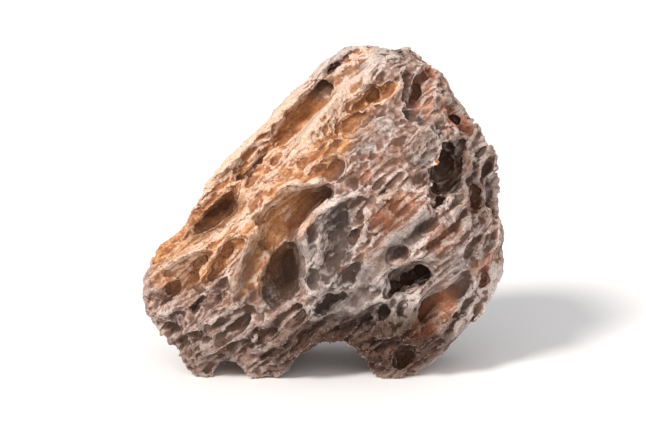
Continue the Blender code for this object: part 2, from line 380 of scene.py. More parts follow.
@dataclass(frozen=True)
class Spot:
    """An oval place on the face: its middle, the angle of its long axis, and its half length and
    half width."""

    x: float
    height: float
    angle: float
    length: float
    width: float

    def offsets(self, x: Array, height: Array) -> tuple[Array, Array]:
        """How far places lie from the middle, along the long axis and across it, mm.

        Args:
            x: how far along X each place is, mm.
            height: how high each place is on the face, mm.

        Returns:
            The distances along the long axis, and those across it.
        """
        turn = math.radians(self.angle)
        right, up = x - self.x, height - self.height
        return (
            right * math.cos(turn) + up * math.sin(turn),
            up * math.cos(turn) - right * math.sin(turn),
        )


@dataclass(frozen=True)
class Patch(Spot):
    """An oval patch of one mark: how strong it is, and how soft its edge is."""

    strength: float = 1.0
    softness: float = 0.5

    def at(self, x: Array, height: Array) -> Array:
        """How strong the mark is at each place.

        Args:
            x: how far along X each place is, mm.
            height: how high each place is on the face, mm.

        Returns:
            The mark at each place, 0 outside the patch and up to its strength.
        """
        along, across = self.offsets(x, height)
        reach = np.hypot(along / self.length, across / self.width)
        return self.strength * (1 - smooth_step(1 - self.softness, 1 + self.softness, reach))


PATCHES: dict[Mark, tuple[Patch, ...]] = {
    # ochre clay: the upper left face, its troughs, the smooth hollow, and the long low trough
    Mark.CLAY: (
        Patch(-36, 108, 45, 85, 30, 1.0, 0.3),
        Patch(-12, 145, 50, 26, 9),
        Patch(-66, 86, 41, 22, 8),
        Patch(-20, 88, 44, 28, 13, 0.75),
        Patch(-30, 62, 60, 22, 10, 0.7),
        Patch(32, 156, 30, 14, 5, 0.9),
        Patch(20, 180, 30, 11, 4, 0.9),
        Patch(63, 31, 46, 20, 9, 0.65, 0.4),
        Patch(-44, 58, 66, 20, 8, 0.7),
        Patch(40, 90, 30, 14, 9, 0.6),
        Patch(55, 130, 60, 8, 7, 0.35),
    ),
    # rust: the pockets of the craggy end, the long low trough, and the low end
    Mark.RUST: (
        Patch(59, 162, 80, 18, 9, 0.7),
        Patch(77, 143, -35, 12, 6, 0.9),
        Patch(40, 88, 35, 16, 9, 0.8),
        Patch(63, 31, 48, 20, 9, 0.9),
        Patch(94, 56, 70, 14, 8, 0.7),
        Patch(68, 76, 40, 14, 8, 0.6),
        Patch(86, 97, 80, 12, 6, 0.6),
        Patch(30, 118, 40, 20, 10, 0.35),
        Patch(-84, 52, 40, 16, 8, 0.4),
        Patch(78, 118, 60, 14, 6, 0.5),
    ),
    # grey rock: the slab, the lower middle, the dark hollow and the craggy end
    Mark.GREY: (
        Patch(4, 68, 75, 30, 12, 1.0, 0.3),
        Patch(24, 40, 10, 34, 22, 0.9),
        Patch(46, 78, 45, 16, 8, 1.0),
        Patch(36, 134, 30, 32, 22, 0.4),
        Patch(58, 126, 60, 14, 11, 0.6),
        Patch(84, 110, 85, 44, 20, 0.45),
        Patch(80, 50, 50, 34, 20, 0.55),
        Patch(-22, 54, 62, 20, 11, 1.0),
    ),
    # worn pale: the lip, the long ridges, the top, and the rims of the slab and the finger
    Mark.PALE: (
        Patch(64, 124, 80, 14, 3, 0.7),
        Patch(-38, 138, 47, 76, 9, 1.0, 0.3),
        Patch(26, 182, 22, 28, 11, 1.0),
        Patch(-12, 132, 48, 46, 5, 0.75),
        Patch(18, 167, 44, 30, 9, 1.0, 0.3),
        Patch(4, 140, 44, 22, 4, 0.7),
        Patch(-66, 73, 36, 42, 3.6, 0.7),
        Patch(-42, 88, 42, 16, 3.6, 0.8),
        Patch(-6, 106, 10, 22, 4, 0.7),
        Patch(-8.5, 62, 90, 24, 4.2, 0.5, 0.3),
        Patch(-50, 62, 62, 19, 4.5, 0.7),
        Patch(8, 97, 25, 18, 3, 0.8),
        Patch(47, 32, 45, 16, 9, 0.9),
        Patch(92, 130, 85, 20, 4, 0.6),
        Patch(90, 38, 55, 28, 9, 1.0),
        Patch(24, 60, 45, 14, 4, 0.5),
    ),
    # earth and painted shade: the deep hollows and the slots near the top, and painted shade at the
    # foot under the overhang
    Mark.DIRT_AND_SHADE: (
        Patch(55, 160, 80, 9, 4, 0.5),
        Patch(-22, 55, 62, 21, 11, 0.8),
        Patch(44, 50, 25, 12, 6, 1.0),
        Patch(61, 100, 60, 8, 5, 0.7),
        Patch(63, 97, 55, 9, 4, 1.0),
        Patch(14, 56, 60, 10, 4, 0.7),
        Patch(0, 162, 36, 9, 5, 1.0, 0.3),
        Patch(30, 10, 0, 60, 14, 0.8),
    ),
    # smooth places that wear lightly: troughs, the broad hollow, and the broken faces
    Mark.CALM: (
        Patch(14, 163, 46, 28, 6, 0.8),
        Patch(-12, 145, 50, 21, 7),
        Patch(-44, 134, 47, 66, 5, 0.6),
        Patch(-18, 88, 44, 26, 9),
        Patch(-63, 89, 37, 17, 6, 0.9),
        Patch(28, 60, 45, 14, 6),
        Patch(68, 40, 44, 20, 8),
        Patch(16, 38, 40, 14, 7, 0.8),
        Patch(46, 79, 45, 13, 6, 0.8),
        Patch(-42, 60, 66, 18, 7, 0.8),
        Patch(-22, 55, 62, 18, 9, 0.8),
        Patch(3, 70, 76, 26, 10, 0.6),
        Patch(30, 128, 40, 30, 18, 0.45, 0.4),
    ),
    # where strands run along the grain
    Mark.FLUTES: (
        Patch(-44, 106, 46, 62, 24, 1.0, 0.3),
        Patch(10, 158, 42, 40, 24, 0.9, 0.4),
        Patch(-70, 50, 42, 44, 26, 0.8, 0.4),
    ),
    # where webs part the hollows
    Mark.WEBS: (
        Patch(84, 112, 85, 50, 18, 1.0, 0.4),
        Patch(80, 60, 60, 46, 22, 0.8, 0.4),
        Patch(30, 28, 20, 40, 18, 0.8, 0.4),
        Patch(-50, 22, 20, 50, 22, 0.7, 0.4),
    ),
    # where the skin is granular
    Mark.GRAINY: (
        Patch(30, 128, 40, 34, 22, 1.0, 0.4),
        Patch(4, 68, 75, 26, 11, 1.0, 0.3),
        Patch(44, 172, 20, 20, 14, 0.8, 0.4),
        Patch(48, 82, 45, 16, 9, 0.6, 0.4),
        Patch(57, 128, 60, 12, 10, 1.0, 0.4),
    ),
    # painted shade: the foot under the overhang, the shadowed pool, and the floors of hollows
    Mark.PAINTED_SHADE: (
        Patch(38, 87, 40, 12, 7, 0.6, 0.5),
        Patch(48, 79, 45, 16, 6, 0.5, 0.4),
        Patch(6, 70, 76, 24, 7, 0.35, 0.3),
        Patch(-22, 53, 62, 21, 11, 0.6, 0.4),
        Patch(0, 162, 36, 8, 4.4, 0.9, 0.3),
        Patch(5, 174, 35, 7, 2.4, 0.8, 0.3),
        Patch(43, 184, -48, 7, 2.4, 0.8, 0.3),
        Patch(22, 14, 5, 60, 22, 1.0, 0.5),
        Patch(-60, 8, 0, 50, 14, 0.5, 0.6),
        Patch(-62, 87, 36, 19, 7, 0.85, 0.4),
        Patch(-43, 60, 66, 17, 6, 0.45, 0.4),
        Patch(56, 126, 60, 12, 8, 0.4, 0.4),
        Patch(29, 56, 48, 13, 7, 0.35, 0.4),
        Patch(34, 132, 35, 18, 12, 0.1, 0.5),
        Patch(86, 112, 85, 30, 12, 0.45, 0.6),
    ),
}


@dataclass(frozen=True)
class Wild:
    """How a mark falls on the sides that no patch reaches: where in the noise it starts, the
    width of its patches, how much of the skin it covers, and how strong it is."""

    seed: float
    width: float
    cover: float
    strength: float = 1.0


WILD = {
    Mark.CLAY: Wild(11.0, 62, 0.38, 0.7),
    Mark.RUST: Wild(23.0, 34, 0.30, 0.7),
    Mark.GREY: Wild(37.0, 58, 0.50, 0.8),
    Mark.PALE: Wild(41.0, 26, 0.30, 0.6),
    Mark.CALM: Wild(59.0, 30, 0.38),
    Mark.FLUTES: Wild(67.0, 60, 0.5),
    Mark.WEBS: Wild(71.0, 55, 0.5),
    Mark.GRAINY: Wild(83.0, 44, 0.4),
}


@dataclass
class Marker:
    """Writes every mark onto a mesh as a point attribute."""

    facing_low: float = -0.05
    facing_high: float = 0.3
    crest_rise: float = 3.5
    wild_fall: float = 0.9
    wild_edge: float = 0.25

    def paint(self, obj: Object) -> None:
        """Marks the object's mesh, by where each point lies and which way it faces.

        Args:
            obj: the object to mark.
        """
        places, normals = read_skin(obj)
        facing = facing_front(normals, self.facing_low, self.facing_high)
        self.write(obj, Mark.CREST, facing * self.crest(places))
        for mark, patches in PATCHES.items():
            values = facing * self.on_face(patches, places)
            if mark in WILD:
                values = values + (1 - facing) * self.in_the_wild(WILD[mark], places)
            self.write(obj, mark, values)

    def on_face(self, patches: tuple[Patch, ...], places: Array) -> Array:
        """The strongest of these patches at each point, as seen from the front."""
        x, height = places[:, 0] / MM, face_heights(places)
        return np.maximum(0, np.max([patch.at(x, height) for patch in patches], axis=0))

    def crest(self, places: Array) -> Array:
        """How near each point is to the crest of a drawn ridge, 0 to 1.

        Args:
            places: the points, in metres.

        Returns:
            The nearness at each point.
        """
        x, height = face_places(places)
        ridges = [stroke for stroke in STROKES if stroke.height > 0 and stroke.power >= 1]
        rises = [stroke.rise(x, height) for stroke in ridges]
        return np.clip(np.max(rises, axis=0) / self.crest_rise, 0, 1)

    def in_the_wild(self, rule: Wild, places: Array) -> Array:
        """Patches of noise at each point.

        Args:
            rule: how wide, strong and common the patches are.
            places: the points, in metres.

        Returns:
            The mark at each point, up to the rule's strength.
        """
        shift = Vector((rule.seed, rule.seed * 0.7, -rule.seed))
        heard = fractal_at(places, rule.width * MM, shift, self.wild_fall).astype(np.float32)
        edge = 0.5 - rule.cover
        return rule.strength * smooth_step(edge - self.wild_edge, edge + self.wild_edge, heard)

    def write(self, obj: Object, mark: Mark, values: Array) -> None:
        """Stores the values as the mark's attribute.

        Args:
            obj: the object that gets the attribute.
            mark: which mark it is.
            values: the mark at each point.
        """
        known = obj.data.attributes.get(mark.value)
        if known is not None:
            obj.data.attributes.remove(known)
        layer = obj.data.attributes.new(mark.value, "FLOAT", "POINT")
        layer.data.foreach_set("value", np.ascontiguousarray(values, np.float32))


# ---- Weathering: geometry nodes that wear the skin ----

# the middle of a noise's colour; the scale and the detail of the noise that bends patterns; how
# a pattern's shift is shared over the three axes
HALF = (0.5, 0.5, 0.5)
BEND_SCALE = 0.7
BEND_DETAIL = 2.0
SHIFT_SHARES = (1.0, 0.61, 0.37)
# the share of the usual wear by which calm places sink
CALM_SINK = 0.8


@dataclass
class SkinTree(Graph):
    """A geometry node tree that works on every point of a skin."""

    name: str
    entry: Any = field(init=False)
    position: Any = field(init=False)
    normal: Any = field(init=False)

    def __post_init__(self) -> None:
        """Makes the tree with its two ends and the fields that all patterns read."""
        self.tree = bpy.data.node_groups.new(self.name, "GeometryNodeTree")
        for end in ("INPUT", "OUTPUT"):
            self.tree.interface.new_socket("Geometry", in_out=end, socket_type="NodeSocketGeometry")
        self.entry = self.add(Kind.ENTRY)
        self.position = self.add(Kind.POSITION)
        self.normal = self.add(Kind.NORMAL)

    def along_grain(self, width: float, stretch: float, bend: float, shift: float) -> Any:
        """The point in a space whose X runs along the grain, in units of one shape.

        Args:
            width: a shape's width across the grain, mm.
            stretch: how much longer it is along the grain.
            bend: how far noise bends the space.
            shift: moves the pattern to another part of the noise.

        Returns:
            The vector's output socket.
        """
        turned = self.add(Kind.TURN, self.position, (0, 1, 0), GRAIN_ANGLE)
        scale = 1 / (width * MM)
        scaled = self.add(Kind.VECTOR_MULTIPLY, turned, (scale / stretch, scale, scale))
        start = tuple(shift * share for share in SHIFT_SHARES)
        moved = self.add(Kind.VECTOR_ADD, scaled, start)
        wave = self.add(Kind.NOISE, moved, BEND_SCALE, BEND_DETAIL).node.outputs["Color"]
        centred = self.add(Kind.VECTOR_SUBTRACT, wave, HALF)
        return self.add(Kind.VECTOR_ADD, moved, self.add(Kind.SCALE, centred, bend * 2))

    def push(self, obj: Object, distance: Any) -> None:
        """Moves each of the object's points along its normal by this distance, in metres."""
        offset = self.add(Kind.SCALE, self.normal, distance)
        self.finish(obj, self.add(Kind.MOVE, self.entry, offset))

    def finish(self, obj: Object, geometry: Any) -> None:
        """Closes the tree with this geometry and applies it to the object."""
        self.add(Kind.EXIT, geometry)
        apply_modifier(obj, self.name, "NODES", node_group=self.tree)


@dataclass(frozen=True)
class Pattern:
    """One way in which the skin wears: the width of its shapes, how much longer they are along
    the grain, how deep they are, how far noise bends them, and where in the noise they start.
    Calm places hold it back by a share, and it may show on one mark only."""

    width: float
    stretch: float
    depth: float
    bend: float
    shift: float
    calm_share: float = 0.8
    only_on: Mark | None = None

    def shown(self, tree: SkinTree) -> Any:
        """How deep this pattern is at the point, by its marks, in metres.

        Args:
            tree: the node tree that the pattern is added to.

        Returns:
            Output socket of the depth, in metres.
        """
        place = tree.along_grain(self.width, self.stretch, self.bend, self.shift)
        calm = tree.add(Kind.MARKED, Mark.CALM.value)
        amount = tree.add(Kind.MULTIPLY_ADD, calm, -self.calm_share, 1.0)
        if self.only_on is not None:
            amount = tree.add(Kind.MULTIPLY, amount, tree.add(Kind.MARKED, self.only_on.value))
        return tree.add(Kind.MULTIPLY, self.sunk(tree, place), amount)

    def sunk(self, tree: SkinTree, place: Any) -> Any:
        """How deep the pattern is at this place in its own space, in metres."""
        raise NotImplementedError


@dataclass(frozen=True)
class Scallops(Pattern):
    """Scooped weathering with sharp ribs between the scoops: how far in from a rib a scoop
    reaches full depth, and how few of the scoops are deep."""

    reach: float = 0.32
    rareness: float = 1.6

    def sunk(self, tree: SkinTree, place: Any) -> Any:
        """How deep the scoop is.

        Args:
            tree: the node tree that the pattern is added to.
            place: output socket of the place in the pattern, in its own widths.

        Returns:
            Output socket of the depth, in metres.
        """
        edge = tree.add(Kind.EDGES, place, 1.0)
        dealt = tree.add(Kind.SPLIT, tree.add(Kind.CELLS, place, 1.0).node.outputs["Color"])
        run = tree.add(Kind.DIVIDE, edge, self.reach, use_clamp=True)
        shape = tree.add(Kind.MULTIPLY, run, tree.add(Kind.POWER, dealt, self.rareness))
        return tree.add(Kind.MULTIPLY, shape, self.depth * MM)


@dataclass(frozen=True)
class Craters(Pattern):
    """Scattered small round holes: the half width of a usual one, and the share of cells that
    have one. The smallest is half the usual size, and sizes spread from there."""

    radius: float = 1.0
    share: float = 0.1
    spread: float = 0.7
    smallest: float = 0.5
    evenness: float = 0.9

    def sunk(self, tree: SkinTree, place: Any) -> Any:
        """How deep the hole is.

        Args:
            tree: the node tree that the pattern is added to.
            place: output socket of the place in the pattern, in its own widths.

        Returns:
            Output socket of the depth, in metres.
        """
        cell = tree.add(Kind.CELLS, place, 1.0, self.evenness)
        first, second, _ = tree.add(Kind.SPLIT, cell.node.outputs["Color"]).node.outputs
        has_hole = tree.add(Kind.LESS_THAN, first, self.share)
        size = tree.add(Kind.MULTIPLY_ADD, second, self.spread, self.smallest)
        reach = tree.add(Kind.DIVIDE, cell, tree.add(Kind.MULTIPLY, size, self.radius / self.width))
        run = tree.add(Kind.SUBTRACT, 1.0, reach, use_clamp=True)
        bowl = tree.add(Kind.MULTIPLY, run, tree.add(Kind.SUBTRACT, 2.0, run))
        shape = tree.add(Kind.MULTIPLY, tree.add(Kind.MULTIPLY, bowl, size), self.depth * MM)
        return tree.add(Kind.MULTIPLY, shape, has_hole)


@dataclass(frozen=True)
class Flakes(Pattern):
    """Thin layers that crop out one behind another along the grain: how their edges lean, how
    little one layer's noise has to do with the next one's, how noise turns into the share that
    stands out, and how hollow the skin is behind an edge."""

    lean: float = 0.3
    layer_gap: float = 7.31
    contrast: float = 3.2
    cover: float = -1.1
    hollowness: float = 1.4

    def sunk(self, tree: SkinTree, place: Any) -> Any:
        """How deep the skin lies behind the edge of its layer.

        Args:
            tree: the node tree that the pattern is added to.
            place: output socket of the place in the pattern, in its own widths.

        Returns:
            Output socket of the depth, in metres.
        """
        along, back, up = tree.add(Kind.SPLIT, place).node.outputs
        across = tree.add(Kind.MULTIPLY_ADD, back, self.lean, up)
        layer = tree.add(Kind.MULTIPLY, tree.add(Kind.FLOOR, across), self.layer_gap)
        wave = tree.add(Kind.NOISE, tree.add(Kind.JOIN, along, layer, back), 1.0, 1.0)
        share = tree.add(Kind.MULTIPLY_ADD, wave, self.contrast, self.cover, use_clamp=True)
        fall = tree.add(Kind.POWER, tree.add(Kind.FRACT, across), self.hollowness)
        return tree.add(Kind.MULTIPLY, tree.add(Kind.MULTIPLY, fall, share), self.depth * MM)


@dataclass(frozen=True)
class Strands(Pattern):
    """Sharp strands that run along the grain and merge: how keen they are, how much finer
    strands they carry, and how hollow the skin is between them."""

    keen: float = 5.0
    detail: float = 1.5
    hollowness: float = 0.75

    def sunk(self, tree: SkinTree, place: Any) -> Any:
        """How deep the skin lies below the crests.

        Args:
            tree: the node tree that the pattern is added to.
            place: output socket of the place in the pattern, in its own widths.

        Returns:
            Output socket of the depth, in metres.
        """
        wave = tree.add(Kind.NOISE, place, 1.0, self.detail)
        gap = tree.add(Kind.ABSOLUTE, tree.add(Kind.SUBTRACT, wave, 0.5))
        wide = tree.add(Kind.MULTIPLY, gap, self.keen, use_clamp=True)
        return tree.add(Kind.MULTIPLY, tree.add(Kind.POWER, wide, self.hollowness), self.depth * MM)


@dataclass(frozen=True)
class Chips(Pattern):
    """Broken ground: flat chips that each lean their own way, by how much, and how deep their
    middles lie, both as shares of the depth."""

    lean: float = 2.0
    middle: float = 0.5

    def sunk(self, tree: SkinTree, place: Any) -> Any:
        """How deep the face of a chip lies.

        Args:
            tree: the node tree that the pattern is added to.
            place: output socket of the place in the pattern, in its own widths.

        Returns:
            Output socket of the depth, in metres.
        """
        cell = tree.add(Kind.CELLS, place, 1.0).node
        way = tree.add(Kind.VECTOR_SUBTRACT, cell.outputs["Color"], HALF)
        arm = tree.add(Kind.VECTOR_SUBTRACT, place, cell.outputs["Position"])
        lean, middle = self.lean * self.depth * MM, self.middle * self.depth * MM
        return tree.add(Kind.MULTIPLY_ADD, tree.add(Kind.DOT, way, arm), lean, middle)


@dataclass(frozen=True)
class Roughness(Pattern):
    """Rough ground: the scale of its lumps in its own space, and how much finer lumps they
    carry."""

    scale: float = 0.8
    detail: float = 3.0
    roughness: float = 0.55

    def sunk(self, tree: SkinTree, place: Any) -> Any:
        """How deep the ground lies below its highest lumps."""
        wave = tree.add(Kind.NOISE, place, self.scale, self.detail, self.roughness)
        return tree.add(Kind.MULTIPLY, tree.add(Kind.SUBTRACT, 1.0, wave), self.depth * MM)


@dataclass(frozen=True)
class Wear:
    """One pass of wear: its patterns, their usual sum, the share of it that crests are spared,
    and how far every point rises first."""

    name: str
    patterns: tuple[Pattern, ...]
    middle: float
    crest_hold: float
    back: float

    def apply_to(self, stone: Object) -> None:
        """Sinks each point by the sum of the patterns; calm places sink evenly instead.

        Args:
            stone: the stone to wear.
        """
        tree = SkinTree(self.name)
        calm = tree.add(Kind.MARKED, Mark.CALM.value)
        total = tree.add(Kind.MULTIPLY, calm, CALM_SINK * self.middle * MM)
        for pattern in self.patterns:
            total = tree.add(Kind.ADD, total, pattern.shown(tree))
        total = tree.add(Kind.SUBTRACT, total, self.back * MM)
        crest = tree.add(Kind.MARKED, Mark.CREST.value)
        kept = tree.add(Kind.MULTIPLY_ADD, crest, self.crest_hold, -1.0)
        tree.push(stone, tree.add(Kind.MULTIPLY, total, kept))


COARSE_WEAR = Wear(
    "coarse_wear",
    (
        Flakes(8.5, 3.6, 2.4, 0.5, 2.3),
        Scallops(9.0, 2.1, 4.2, 0.4, 3.1, calm_share=0.9, only_on=Mark.WEBS),
        Chips(12.0, 2.4, 1.6, 0.25, 4.3),
        Strands(8.0, 8.0, 4.2, 0.22, 4.4, only_on=Mark.FLUTES),
        Craters(11.0, 1.5, 3.0, 0.5, 1.7, calm_share=0.9, radius=2.0, share=0.02),
    ),
    middle=2.0,
    crest_hold=0.7,
    back=0.0,
)
FINE_WEAR = Wear(
    "fine_wear",
    (
        Flakes(4.2, 4.0, 1.6, 0.6, 6.1),
        Roughness(4.5, 1.8, 1.9, 0.3, 5.9, calm_share=0.35),
        Chips(4.6, 2.0, 1.3, 0.25, 8.9),
        Strands(3.6, 8.0, 1.5, 0.25, 7.3, only_on=Mark.FLUTES),
        Roughness(2.8, 1.2, 3.4, 0.3, 3.7, calm_share=0.0, only_on=Mark.GRAINY),
        Craters(5.0, 1.5, 1.6, 0.5, 9.1, calm_share=0.9, radius=1.0, share=0.08),
    ),
    middle=1.5,
    crest_hold=0.25,
    back=1.1,
)


@dataclass
class Relief(SkinTree):
    """Measures how far each point stands out of its surroundings, near and wide, and how open to
    the air it is. The reach of its surroundings is in turns of smoothing."""

    near_turns: int = 5
    wide_turns: int = 50
    rays: int = 22
    ray_length: float = 45.0
    lift: float = 0.8
    calm_level: float = -0.9

    def stands_out(self, turns: int) -> Any:
        """How far the point stands out of its smoothed surroundings, mm.

        Args:
            turns: how many times the surroundings are smoothed.

        Returns:
            Output socket of the distance, below 0 in a hollow.
        """
        calm = self.add(Kind.BLUR, turns).node
        vector_in = next(s for s in calm.inputs if s.type == "VECTOR" and s.enabled)
        self.tree.links.new(self.position, vector_in)
        blurred = next(s for s in calm.outputs if s.type == "VECTOR" and s.enabled)
        gap = self.add(Kind.VECTOR_SUBTRACT, self.position, blurred)
        return self.add(Kind.DIVIDE, self.add(Kind.DOT, gap, self.normal), MM)

    def openness(self) -> Any:
        """The share of the sky over the point that no part of the stone hides, 0 to 1.

        Returns:
            Output socket of the share.
        """
        lifted = self.add(Kind.SCALE, self.normal, self.lift * MM)
        start = self.add(Kind.VECTOR_ADD, self.position, lifted)
        seen: Any = 0.0
        whole: Any = 0.0
        for i in range(self.rays):
            tall = 1 - (2 * i + 1) / self.rays
            turn = i * math.pi * (3 - math.sqrt(5))
            flat = math.sqrt(1 - tall * tall)
            way = (flat * math.cos(turn), flat * math.sin(turn), tall)
            weight = self.add(Kind.MAXIMUM, self.add(Kind.DOT, self.normal, way), 0.0)
            hit = self.add(Kind.RAY, self.entry, start, way, self.ray_length * MM)
            seen = self.add(Kind.MULTIPLY_ADD, weight, self.add(Kind.SUBTRACT, 1.0, hit), seen)
            whole = self.add(Kind.ADD, whole, weight)
        return self.add(Kind.DIVIDE, seen, whole)

    def sharpen(
        self, obj: Object, turns: int, amount: float, limit: float, calm_turns: int
    ) -> None:
        """Pushes ridges out and creases in, and levels the calm places.

        Args:
            obj: the object to change.
            turns: how far around a point its surroundings reach.
            amount: how many times its relief it moves.
            limit: the furthest that it may move, mm.
            calm_turns: how far the surroundings of a calm point reach.
        """
        calm = self.add(Kind.MARKED, Mark.CALM.value)
        rugged = self.add(Kind.SUBTRACT, 1.0, calm)
        keen = self.add(Kind.MULTIPLY, self.stands_out(turns), amount)
        relief = self.add(Kind.MAXIMUM, self.add(Kind.MULTIPLY, keen, rugged), -limit)
        relief = self.add(Kind.MINIMUM, relief, limit)
        level = self.add(Kind.MULTIPLY, calm, self.calm_level)
        level = self.add(Kind.MULTIPLY, self.stands_out(calm_turns), level)
        held = self.add(Kind.ADD, relief, level)
        self.push(obj, self.add(Kind.MULTIPLY, held, MM))

    def store(self, obj: Object) -> None:
        """Stores the three measures as attributes of the object's mesh.

        Args:
            obj: the object that gets the attributes.
        """
        geometry = self.entry
        measures = {
            "near_relief": self.stands_out(self.near_turns),
            "wide_relief": self.stands_out(self.wide_turns),
            "openness": self.openness(),
        }
        for name, value in measures.items():
            geometry = self.add(Kind.STORE, geometry, name, value)
        self.finish(obj, geometry)


# ---- Shapes drawn on the face ----

# how wide the sway of drawn shapes is, and how far it reaches
SWAY_WIDTH = 10.0
SWAY_REACH = 1.8
# in a stroke's half widths, a distance past all of it; the share of its rise that is left at its
# ends, and how fast the rest comes back
FAR = 9.0
END_SHARE = 0.35
END_SLOPE = 3.2
# where a facet's edge fades, and the most that it may cut away
FACET_EDGE = (0.85, 1.1)
FACET_DEEPEST = 7
# how steep a leaf's sides are, how sharp its ends are, and how wide and how far off its rim is
LEAF_STEEP = 1.5
LEAF_POINT = 0.75
RIM_WIDTH = 1.5
RIM_GAP = 0.5


def face_places(places: Array) -> tuple[Array, Array]:
    """Where points lie on the face, in millimetres, swayed a little by noise so that what is
    drawn there looks grown.

    Args:
        places: the points, in metres.

    Returns:
        Each point's x and its height.
    """
    size = SWAY_WIDTH * MM
    waves = [noise.turbulence_vector(Vector(p) / size, 3, False)[:] for p in places.tolist()]
    sway = np.array(waves) * SWAY_REACH
    return places[:, 0] / MM + sway[:, 0], face_heights(places) + sway[:, 1]


@dataclass(frozen=True)
class Stroke:
    """A ridge or a groove drawn over the face: its points (x, height), its half width, how far it
    stands out (or sinks, below 0), how much wider its left slope is than its right one, and how
    hollow its slopes are. Where the slopes are fuller than straight it is a fill, and no crest."""

    points: tuple[tuple[float, float], ...]
    width: float
    height: float
    skew: float = 0.3
    power: float = 1.5

    def rise(self, x: Array, height: Array) -> Array:
        """How far the stroke lifts each place on the face, mm; below 0 for a groove.

        Args:
            x: how far along X each place is, mm.
            height: how high each place is on the face, mm.

        Returns:
            The lift at each place, mm.
        """
        best = np.full(len(x), FAR)
        taper = np.ones(len(x))
        for i, ((x0, h0), (x1, h1)) in enumerate(zip(self.points, self.points[1:])):
            dx, dh = x1 - x0, h1 - h0
            span = math.hypot(dx, dh)
            run = np.clip(((x - x0) * dx + (height - h0) * dh) / span**2, 0, 1)
            off_x, off_h = x - x0 - run * dx, height - h0 - run * dh
            side = np.sign(dx * off_h - dh * off_x)
            reach = np.hypot(off_x, off_h) / (self.width * (1 + self.skew * side))
            closer = reach < best
            best = np.where(closer, reach, best)
            share = (i + run) / (len(self.points) - 1)
            end = np.minimum(1, END_SHARE + END_SLOPE * np.minimum(share, 1 - share))
            taper = np.where(closer, end, taper)
        return self.height * taper * np.clip(1 - best, 0, 1) ** self.power


@dataclass(frozen=True)
class Facet(Spot):
    """A flat broken face: how far its plane lies below the skin in the middle, and how steeply
    the plane falls away along the oval and across it."""

    sink: float
    along: float = 0.0
    across: float = 0.0

    def push(self, x: Array, height: Array, depth: Array) -> Array:
        """How far each place must move in to lie no higher than the plane, mm.

        Args:
            x: each place's x, mm.
            height: each place's height, mm.
            depth: how far in each place lies, from the facet's middle, mm.

        Returns:
            The push at each place.
        """
        along, across = self.offsets(x, height)
        plane = self.sink + self.along * along + self.across * across
        reach = np.hypot(along / self.length, across / self.width)
        return np.clip(plane - depth, 0, FACET_DEEPEST) * (1 - smooth_step(*FACET_EDGE, reach))


@dataclass(frozen=True)
class Leaf(Spot):
    """A hollow shaped like a leaf, with pointed ends, flat sides that meet in a keel, and a thin
    rim: its depth, where its keel lies across it (-1 to 1), and how high its rim stands."""

    depth: float
    keel: float = 0.0
    rim: float = 1.2

    def push(self, x: Array, height: Array) -> Array:
        """How far the leaf sinks each place on the face, mm; below 0 on the rim.

        Args:
            x: how far along X each place is, mm.
            height: how high each place is on the face, mm.

        Returns:
            The depth at each place, mm.
        """
        along, across = self.offsets(x, height)
        inner = np.clip(1 - (along / self.length) ** 2, 0, 1)
        half = self.width * inner**LEAF_POINT
        side = across / np.maximum(half, 0.01)
        left, right = (1 - side) / (1 - self.keel), (1 + side) / (1 + self.keel)
        slope = np.where(side > self.keel, left, right)
        sunk = self.depth * np.clip(slope * LEAF_STEEP, 0, 1) * np.sqrt(inner)
        beside = np.abs(np.abs(across) - half - RIM_GAP) / RIM_WIDTH
        ridge = self.rim * np.clip(1 - beside, 0, 1) * np.sqrt(inner)
        return sunk - ridge * (sunk <= 0)


@dataclass(frozen=True)
class Pit(Spot):
    """A crisp hollow cut into the face: its depth, and how far it runs straight back rather than
    square to the skin."""

    depth: float
    straight: float = 0.0


